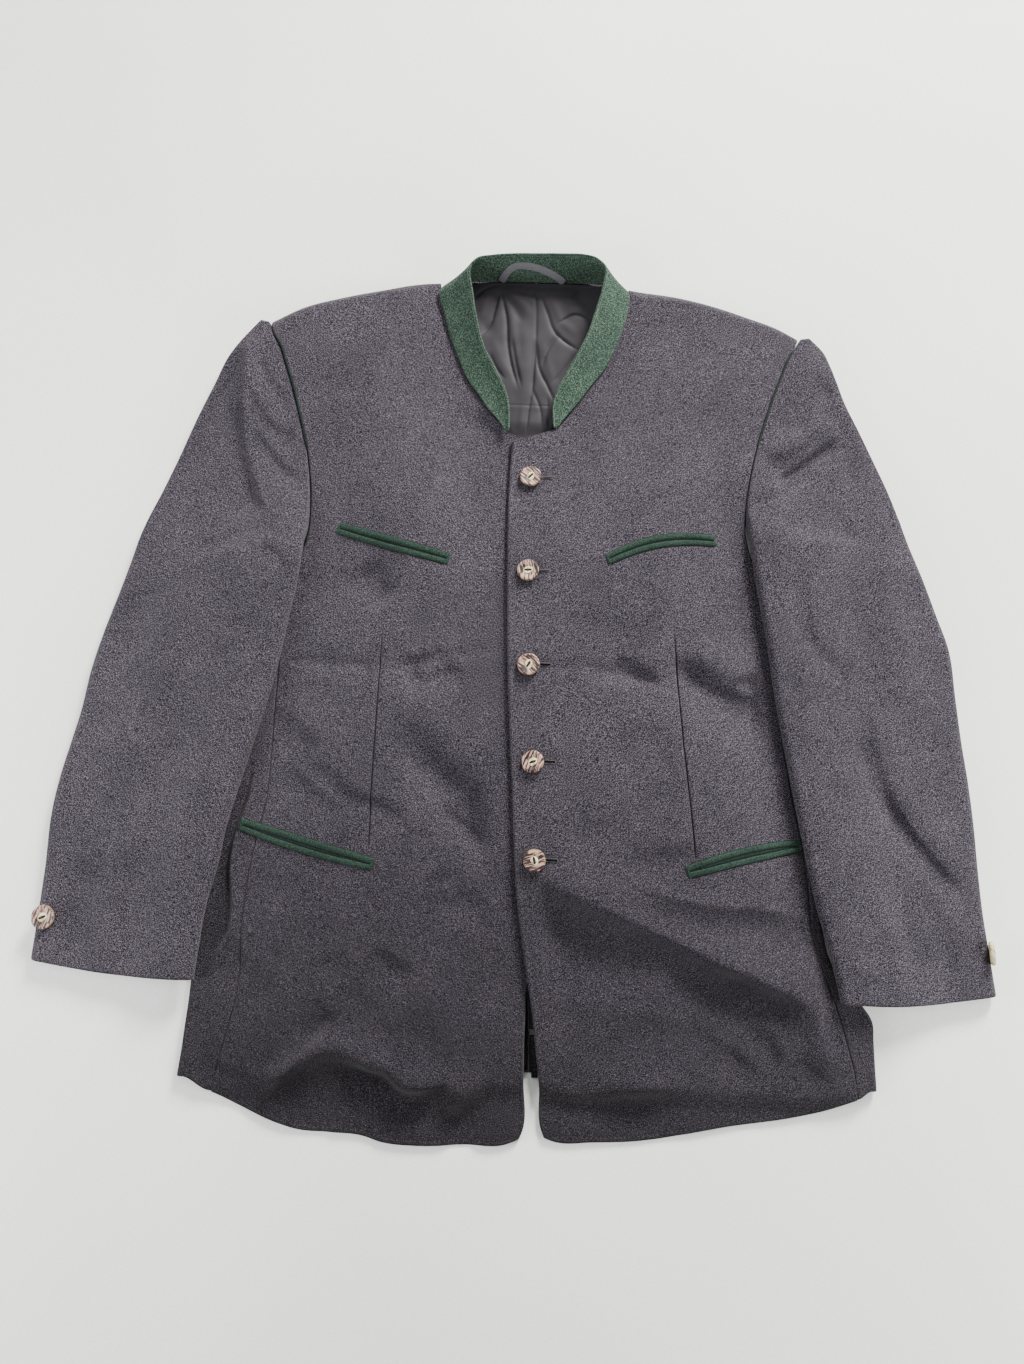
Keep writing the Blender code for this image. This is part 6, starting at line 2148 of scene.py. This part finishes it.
@dataclass
class StitchRow:
    """A tree of geometry nodes that sews equal stitches along a line."""

    name: str = "stitch_row"
    group: Optional[bpy.types.NodeTree] = field(default=None)

    def socket(self, name: str) -> str:
        """Return the identifier of one of the tree's named inputs.

        Args:
            name: the input's name.

        Returns:
            The identifier.
        """
        for item in self.group.interface.items_tree:
            if item.item_type == "SOCKET" and item.in_out == "INPUT" and item.name == name:
                return item.identifier
        raise KeyError(name)

    def tree(self) -> bpy.types.NodeTree:
        """Build the tree, with inputs for the pitch, length, thickness, turn, unevenness and thread.

        Returns:
            The tree.
        """
        group = bpy.data.node_groups.new(self.name, "GeometryNodeTree")
        face = group.interface
        face.new_socket("Line", in_out="INPUT", socket_type="NodeSocketGeometry")
        for word in ("Pitch", "Length", "Thickness", "Turn", "Unevenness"):
            face.new_socket(word, in_out="INPUT", socket_type="NodeSocketFloat")
        face.new_socket("Thread", in_out="INPUT", socket_type="NodeSocketMaterial")
        face.new_socket("Stitches", in_out="OUTPUT", socket_type="NodeSocketGeometry")
        given = group.nodes.new("NodeGroupInput").outputs

        def add(kind: str, inputs: dict, **settings: object) -> bpy.types.NodeOutputs:
            """Add a node and return its outputs."""
            return add_node(group, kind, inputs, **settings).outputs

        line = add("GeometryNodeMeshToCurve", {0: given["Line"]})[0]
        spaced = add("GeometryNodeCurveToPoints", {"Curve": line, "Length": given["Pitch"]}, mode="LENGTH")
        ball = add("GeometryNodeMeshUVSphere", {"Segments": 6, "Rings": 4, "Radius": 0.5})[0]
        thick = given["Thickness"]
        size = add("ShaderNodeCombineXYZ", {0: given["Length"], 1: thick, 2: thick})[0]
        shaped = add("GeometryNodeTransform", {"Geometry": ball, "Scale": size})[0]
        tangent = add("FunctionNodeAlignRotationToVector", {"Vector": spaced["Tangent"]}, axis="X")[0]
        chance = add("FunctionNodeRandomValue", {"Min": -1.0, "Max": 1.0, "Seed": 11}, data_type="FLOAT")[1]
        wobble = add("ShaderNodeMath", {0: chance, 1: given["Unevenness"]}, operation="MULTIPLY")[0]
        total = add("ShaderNodeMath", {0: given["Turn"], 1: wobble}, operation="ADD")[0]
        about = add("FunctionNodeAxisAngleToRotation", {"Axis": (0.0, 0.0, 1.0), "Angle": total})[0]
        turns = {"Rotation": tangent, "Rotate By": about}
        turned = add("FunctionNodeRotateRotation", turns, rotation_space="LOCAL")[0]
        sewn = {"Points": spaced["Points"], "Instance": shaped, "Rotation": turned}
        real = add("GeometryNodeRealizeInstances", {0: add("GeometryNodeInstanceOnPoints", sewn)[0]})[0]
        thread = add("GeometryNodeSetMaterial", {"Geometry": real, "Material": given["Thread"]})[0]
        group.links.new(thread, group.nodes.new("NodeGroupOutput").inputs[0])
        return group

    def sew(self, name: str, lines: Sequence[np.ndarray], pitch: float, length: float, thick: float,
            thread: Thread, laid: Laid = Laid.ALONG, uneven: float = 0.12) -> Piece:
        """Sew stitches along lines.

        Args:
            name: the name of the made piece.
            lines: the lines' places, in millimetres.
            pitch: the distance from one stitch to the next.
            length: the length of a stitch.
            thick: its thickness.
            thread: the thread's finish.
            laid: whether the stitches lie along the line or across it.
            uneven: how far a stitch may be turned, in radians.

        Returns:
            One plain mesh of all the stitches.
        """
        if self.group is None:
            self.group = self.tree()
        points: list[tuple[float, float, float]] = []
        edges: list[tuple[int, int]] = []
        for line in lines:
            start = len(points)
            points += [tuple(p) for p in np.asarray(line) * MM]
            edges += [(start + k, start + k + 1) for k in range(len(line) - 1)]
        mesh = bpy.data.meshes.new(name + "_line")
        mesh.from_pydata(points, edges, [])
        carrier = bpy.data.objects.new(name + "_line", mesh)
        bpy.context.scene.collection.objects.link(carrier)
        change = carrier.modifiers.new("stitches", "NODES")
        change.node_group = self.group
        values = {
            "Pitch": pitch * MM, "Length": length * MM, "Thickness": thick * MM,
            "Turn": math.radians(laid.value), "Unevenness": uneven, "Thread": FINISHES.get(thread),
        }
        for word, value in values.items():
            change[self.socket(word)] = value
        bpy.context.view_layer.update()
        evaluated = carrier.evaluated_get(bpy.context.evaluated_depsgraph_get())
        sewn = bpy.data.meshes.new_from_object(evaluated)
        carrier.modifiers.clear()
        bpy.data.objects.remove(carrier, do_unlink=True)
        sewn.name = name
        sewn.polygons.foreach_set("use_smooth", [True] * len(sewn.polygons))
        piece = bpy.data.objects.new(name, sewn)
        bpy.context.scene.collection.objects.link(piece)
        return piece


STITCHES = StitchRow()


# ---------------------------------------------------------------- buttons


# The profiles of a button's parts: radius share and height share, from the top's middle round.
DISC = (
    (0.12, 0.80), (0.22, 0.80), (0.28, 0.78), (0.33, 0.70), (0.38, 0.72), (0.46, 0.80), (0.60, 0.90),
    (0.74, 0.97), (0.86, 1.0), (0.93, 0.96), (0.975, 0.84), (1.0, 0.62), (0.99, 0.42), (0.95, 0.22),
    (0.86, 0.08), (0.70, 0.0), (0.30, 0.0),
)
FACE_RIM = ((0.950, 0.955), (0.962, 0.90), (0.93, 0.86), (0.60, 0.80), (0.30, 0.65))
CORE = ((0.04, 0.10), (0.17, 0.105), (0.27, 0.10), (0.315, 0.07), (0.33, 0.0), (0.28, -0.06))
SLIT = ((0.01, 0.135), (0.08, 0.135), (0.112, 0.125), (0.118, 0.09), (0.09, 0.05))
SEAT = 0.80  # height share of the seat that the core lies in


@dataclass
class Button:
    """A button cut from antler, with a pale oval core and a thread through it."""

    name: str
    centre: tuple[float, float, float]
    radius: float
    thick: float
    lean: tuple[float, float, float]
    streaks: float
    slit: float
    rim: Horn = PALE_HORN
    steps: int = 72

    def frame(self) -> tuple[np.ndarray, np.ndarray, np.ndarray]:
        """Return the button's own two flat axes and its upright one.

        Returns:
            The three axes.
        """
        up = np.array(self.lean, float)
        up /= np.linalg.norm(up)
        one = np.array([1.0, 0.0, 0.0]) - up * up[0]
        if np.linalg.norm(one) < 0.3:
            one = np.array([0.0, 1.0, 0.0]) - up * up[1]
        one /= np.linalg.norm(one)
        return one, np.cross(up, one), up

    def spun(self, name: str, profile: Sequence[tuple[float, float]], stretch: float, turn: float,
             finish: Finish, rough: float, shift: float = 0.0) -> Piece:
        """Turn a closed profile into a solid.

        Args:
            name: the piece's name.
            profile: pairs of radius share and height share, from the top's middle round to the bottom's.
            stretch: how much longer it is along its own X, for an oval.
            turn: the angle of that X.
            finish: the finish.
            rough: how uneven the rim is, as a share of the radius.
            shift: how far the piece is raised, in millimetres.

        Returns:
            The object.
        """
        one, two, up = self.frame()
        angles = 2 * math.pi * np.arange(self.steps) / self.steps
        points, uv = [], []
        for share, height in profile:
            uneven = 0.6 * np.sin(2 * angles + self.streaks) + 0.4 * np.sin(5 * angles + 2.0 * self.slit)
            edge = 1.0 + rough * share * uneven
            a = share * self.radius * edge * np.cos(angles) * stretch
            b = share * self.radius * edge * np.sin(angles)
            u, v = a * math.cos(turn) - b * math.sin(turn), a * math.sin(turn) + b * math.cos(turn)
            middle = np.array(self.centre) + up * (height * self.thick + shift)
            points.append(middle + u[:, None] * one + v[:, None] * two)
            uv.append(np.stack([
                u * math.cos(self.streaks) + v * math.sin(self.streaks) + 40.0 * self.streaks + 3.0 * height,
                v * math.cos(self.streaks) - u * math.sin(self.streaks) + 3.0 * height,
            ], axis=1))
        rings = len(profile)
        flat = np.concatenate(points)
        maps = np.concatenate(uv)
        ends = [flat[:self.steps].mean(axis=0), flat[-self.steps:].mean(axis=0)]
        end_maps = [maps[:self.steps].mean(axis=0), maps[-self.steps:].mean(axis=0)]
        faces = []
        for ring in range(rings - 1):
            for k in range(self.steps):
                a, b = ring * self.steps + k, ring * self.steps + (k + 1) % self.steps
                faces.append((a, b, b + self.steps, a + self.steps))
        top, low = len(flat), len(flat) + 1
        last = (rings - 1) * self.steps
        for k in range(self.steps):
            faces.append((top, (k + 1) % self.steps, k))
            faces.append((low, last + k, last + (k + 1) % self.steps))
        return build(name, np.concatenate([flat, ends]), faces, np.concatenate([maps, end_maps]), finish)

    def make(self) -> list[Piece]:
        """Build the disc, its core and the thread.

        Returns:
            The disc, its face, core and slit (a dark sheet of painted shade), and the thread.
        """
        face = (*((share, height + 0.012) for share, height in DISC[:9]), *FACE_RIM)
        seat = SEAT * self.thick
        parts = [
            self.spun(self.name + "_disc", DISC, 1.0, 0.0, self.rim, 0.018),
            self.spun(self.name + "_face", face, 1.0, 0.0, ANTLER, 0.03),
            self.spun(self.name + "_core", CORE, 1.30, self.slit + 0.3, CORE_HORN, 0.06, seat),
            # The slit is a dark sheet: painted shade in the core's thread hole.
            self.spun(self.name + "_slit", SLIT, 3.0, self.slit, PAINTED_SHADE_SATIN, 0.04, seat),
            self.thread(),
        ]
        dress(parts[0], "horn", self.name)
        return parts[:1] + [dress(part, "horn") for part in parts[1:]]

    def thread(self) -> Piece:
        """Sew the two strands of thread through the core.

        Returns:
            The thread.
        """
        one, two, up = self.frame()
        along = one * math.cos(self.slit) + two * math.sin(self.slit)
        across = np.cross(up, along)
        seat = np.array(self.centre) + up * (0.91 * self.thick)
        lines = []
        for lane in (-0.3, 0.3):
            t = np.linspace(-1, 1, 15)
            arch = 0.10 * np.sqrt(np.clip(1 - t**2, 0, 1))
            lines.append(seat + along * (t * 1.5)[:, None] + across * lane + up * (0.02 + arch)[:, None])
        return STITCHES.sew(self.name + "_thread", lines, 0.5, 0.8, 0.38, BROWN_THREAD, Laid.ALONG, 0.05)


@dataclass
class Buttonhole:
    """A worked buttonhole that shows beside its button: a slit bound with thread, with a dark sheet of painted
    shade laid in it.
    """

    name: str
    start: Point
    end: Point
    width: float

    def make(self, cloth: Surface) -> list[Piece]:
        """Build the slit and its binding on the cloth.

        Args:
            cloth: the cloth that it lies on.

        Returns:
            The slit and its binding.
        """
        a, b = np.array(self.start), np.array(self.end)
        run = (b - a) / np.linalg.norm(b - a)
        side = np.array([-run[1], run[0]])
        t = np.linspace(0, 1, 26)
        half = self.width / 2 * np.sqrt(np.clip(1 - (2 * t - 1) ** 6, 0.02, 1))
        half = half + 0.5 * np.exp(-(((t - 0.92) / 0.07) ** 2))
        shares = np.linspace(-1, 1, 7)
        plan = (a + (b - a) * t[:, None])[:, None, :] + side * (shares * half[:, None])[..., None]
        z = cloth.heights(plan)
        faces = (np.dstack([plan, z + up]) for up in (0.16, 0.02))
        # The slit is a flat dark sheet on the cloth: painted shade of the opening.
        slit = dress(wall(self.name, *faces, PAINTED_SHADE_SATIN), "loden")
        ring = np.concatenate([plan[:, -1], plan[::-1, 0], plan[:1, -1]])
        level = cloth.heights(ring[:, None, :])[:, 0] + 0.24
        border = np.column_stack([ring, level])
        name = self.name + "_binding"
        binding = STITCHES.sew(name, [border], 0.46, 1.5, 0.5, DARK_THREAD, Laid.ACROSS, 0.10)
        return [slit, dress(binding, "loden")]


# ---------------------------------------------------------------- the jacket


class Lamp(NamedTuple):
    """A large soft light that faces the jacket, in metres and watts."""

    name: str
    place: tuple[float, float, float]
    size: float
    power: float
    colour: Colour


LAMPS = table(
    Lamp,
    ("window", (1.05, 2.32, 1.10), 0.85, 330.0, (1.0, 0.99, 0.97)),
    ("right_lamp", (-1.25, -0.32, 0.50), 0.7, 28.0, (0.98, 0.99, 1.0)),
    ("left_lamp", (1.25, -0.42, 0.50), 0.7, 24.0, (0.98, 0.99, 1.0)),
    ("ceiling", (-0.5, 0.9, 2.4), 2.2, 30.0, (0.97, 0.99, 1.0)),
)


@dataclass
class Stage:
    """The pale sheet, the soft light and the camera over the jacket."""

    floor_size: float = 6.0
    camera_at: tuple[float, float, float] = (-0.0045, -0.1224, 0.9220)
    camera_tilt: float = 7.5
    camera_roll: float = 1.6
    lens: float = 26.0
    sensor: float = 36.0
    room_colour: tuple[float, float, float, float] = (0.93, 0.95, 0.94, 1.0)
    room_light: float = 0.20

    def make_floor(self) -> Piece:
        """Build the floor as one flat sheet just under the jacket.

        Returns:
            The floor.
        """
        half, count = self.floor_size / 2 / MM, 24
        line = np.linspace(-half, half, count)
        x, y = np.meshgrid(line, line, indexing="ij")
        top = np.dstack([x, y, np.full(x.shape, -0.05)])
        floor = wall("floor", top, np.dstack([x, y, np.full(x.shape, -3.0)]), FLOOR)
        return floor

    def make_light(self, lamp: Lamp) -> None:
        """Hang one of the lights.

        Args:
            lamp: the light's row of the table.
        """
        light = bpy.data.lights.new(lamp.name, "AREA")
        light.shape = "DISK"
        light.size = lamp.size
        light.energy = lamp.power
        light.color = lamp.colour
        holder = bpy.data.objects.new(lamp.name, light)
        holder.location = lamp.place
        holder.rotation_euler = (-Vector(lamp.place)).to_track_quat("-Z", "Y").to_euler()
        bpy.context.scene.collection.objects.link(holder)

    def make_camera(self) -> None:
        """Set the camera over the jacket, tipped a little toward the collar."""
        lens = bpy.data.cameras.new("camera")
        lens.lens = self.lens
        lens.sensor_width = self.sensor
        holder = bpy.data.objects.new("camera", lens)
        holder.location = self.camera_at
        turns = (math.radians(self.camera_tilt), 0.0, math.radians(self.camera_roll))
        holder.rotation_euler = Euler(turns, "XYZ")
        bpy.context.scene.collection.objects.link(holder)
        bpy.context.scene.camera = holder

    def make(self) -> None:
        """Build the whole stage."""
        self.make_floor()
        self.make_camera()
        for lamp in LAMPS:
            self.make_light(lamp)
        world = bpy.data.worlds.new("room")
        world.use_nodes = True
        light = world.node_tree.nodes["Background"].inputs
        light["Color"].default_value = self.room_colour
        light["Strength"].default_value = self.room_light
        bpy.context.scene.world = world


# How the streaks and the thread of each front button are turned, from the top down.
BUTTON_LOOKS = ((0.8, 0.8), (0.1, 0.05), (0.85, 1.05), (-0.35, 0.35), (-1.2, 1.8))
CLOSED_HOLES = 2  # how many buttonholes, from the top down, are drawn closed
# The cuff buttons: name, how each leans, the turn of its streaks and the finish of its rim.
CUFF_BUTTONS = (
    ("cuff_button_right", (-0.10, 0.02, 1.0), -0.26, PALE_HORN),
    ("cuff_button_left", (0.93, 0.07, 0.36), 0.5, CORE_HORN),
)


@dataclass
class Jacket:
    """The whole jacket, built piece by piece."""

    pieces: dict[str, Piece] = field(default_factory=dict)

    def keep(self, *made: Piece) -> None:
        """Remember finished pieces by name."""
        for piece in made:
            self.pieces[piece.name.removesuffix(CLOTH)] = piece

    def make_body(self) -> None:
        """Build the back, the side panels and the fronts."""
        self.keep(BackPanel(Side.RIGHT, RIGHT_SIDE, RIGHT_SLEEVE, RIGHT_SHOULDER).make())
        self.keep(BackPanel(Side.LEFT, LEFT_SIDE, LEFT_SLEEVE, LEFT_SHOULDER).make())
        self.keep(SidePanel(Side.RIGHT, RIGHT_SIDE).make())
        self.keep(SidePanel(Side.LEFT, LEFT_SIDE).make())
        self.keep(FrontPanel(
            Side.RIGHT, RIGHT_SIDE, RIGHT_SLEEVE, UNDERARM_RIGHT, RIGHT_FRONT_EDGE, RIGHT_NECK,
            RIGHT_SHOULDER, RIGHT_HEM, RIGHT_DART,
        ).make())
        self.keep(FrontPanel(
            Side.LEFT, LEFT_SIDE, LEFT_SLEEVE, UNDERARM_LEFT, LEFT_FRONT_EDGE, LEFT_NECK,
            LEFT_SHOULDER, LEFT_HEM, LEFT_DART,
        ).make())

    def make_sleeves(self) -> None:
        """Build both sleeves and the piping at their heads."""
        for side, stations in ((Side.RIGHT, RIGHT_SLEEVE), (Side.LEFT, LEFT_SLEEVE)):
            self.keep(*Sleeve(side, stations).make())
            cloth = Surface(self.pieces["front_" + side.word], self.pieces["top_sleeve_" + side.word])
            self.keep(Piping(side, stations).make(cloth))

    def make_neck(self) -> None:
        """Build the collar, the loop and the lining."""
        collar = Collar()
        self.keep(collar.make(), collar.loop())
        self.keep(*Lining().make())

    def make_pockets(self) -> None:
        """Build the four jetted pockets."""
        for lip in LIPS:
            word = lip.side.word
            cloth = Surface(self.pieces["front_" + word], self.pieces["side_panel_" + word])
            self.keep(*Pockets().make(lip, cloth))

    def make_buttons(self) -> None:
        """Build the buttons of the front, each on its solid's place, and their buttonholes."""
        cloth = Surface(self.pieces["front_left"])
        for k, (spot, (streaks, slit)) in enumerate(zip(FRONT_BUTTON_SPOTS, BUTTON_LOOKS), 1):
            low = np.array(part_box(f"button_{k}")[0]) / MM
            centre = (spot.x, spot.y, float(low[2]) + 0.1)
            reach = 9.0
            lean_x = cloth.height(spot.x - reach, spot.y) - cloth.height(spot.x + reach, spot.y)
            lean_y = cloth.height(spot.x, spot.y - reach) - cloth.height(spot.x, spot.y + reach)
            lean = (lean_x / (2 * reach), lean_y / (2 * reach), 1.0)
            self.keep(*Button(f"button_{k}", centre, 10.2, 4.2, lean, streaks, slit).make())
            start, end = Point(spot.x + 9.0, spot.y + 0.6), Point(spot.x + 21.0, spot.y + 0.2)
            width = 1.4 if k <= CLOSED_HOLES else 2.7
            self.keep(*Buttonhole(f"buttonhole_{k}", start, end, width).make(cloth))

    def make_cuff_buttons(self) -> None:
        """Build the button of each cuff, centred on its solid."""
        for name, lean, streaks, rim in CUFF_BUTTONS:
            low, high = (np.array(corner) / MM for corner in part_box(name))
            up = np.array(lean) / np.linalg.norm(lean)
            centre = (low + high) / 2 - up * 2.0
            self.keep(*Button(name, tuple(centre), 10.9, 4.0, lean, streaks, 0.4, rim).make())

    def sew_edges(self) -> None:
        """Sew the prick stitches of the front edges and hems."""
        inset = 4.1
        edges = ((Side.RIGHT, RIGHT_FRONT_EDGE[:4], RIGHT_HEM), (Side.LEFT, LEFT_FRONT_EDGE, LEFT_HEM))
        for side, edge, hem in edges:
            sign = side.value
            cloth = Surface(self.pieces["front_" + side.word])
            up = [Point(p.x + sign * inset, p.y) for p in edge if p.y > -402]
            along = [Point(p.x, p.y + inset) for p in hem if sign * (p.x - 10) > 24]
            lines = []
            for rows in (up, along):
                plan = curve(rows, count=10 * len(rows))
                level = cloth.heights(plan[:, None, :])[:, 0]
                lines.append(np.column_stack([plan, level + 0.04])[level > 1.0])
            name = "edge_stitches_" + side.word
            stitches = STITCHES.sew(name, lines, 4.2, 1.3, 0.42, DARK_THREAD, Laid.ALONG, 0.2)
            self.keep(dress(stitches, "loden"))

    def sew_ends(self) -> None:
        """Sew the vent's bar tack and the stitches of the collar's free edge."""
        zigzag = np.array([(16.8 + 4.2 * (k % 2), -315.5 - 0.55 * k, WALL + 2.3) for k in range(9)])
        tack = STITCHES.sew("bar_tack", [zigzag], 0.9, 1.3, 0.45, PALE_THREAD, Laid.ALONG, 0.3)
        collar = Collar()
        seam, edge, normal = collar.lines(collar.count)
        reach = float(np.linalg.norm(edge - seam, axis=1)[collar.count // 3])
        face = collar.face(np.array([1.0 - 2.6 / reach]), 0.0)[4:-4, 0]
        lines = [face, face - collar.thick * normal[4:-4]]
        border = STITCHES.sew("collar_stitches", lines, 2.3, 1.7, 0.42, GREEN_THREAD, Laid.ALONG, 0.06)
        self.keep(dress(tack, "loden"), dress(border, "green_wool"))


def main() -> None:
    """Build the stage and the jacket in order."""
    Stage().make()
    jacket = Jacket()
    jacket.make_body()
    jacket.make_sleeves()
    jacket.make_neck()
    jacket.make_pockets()
    jacket.make_buttons()
    jacket.make_cuff_buttons()
    jacket.sew_edges()
    jacket.sew_ends()


if __name__ == "__main__":
    main()
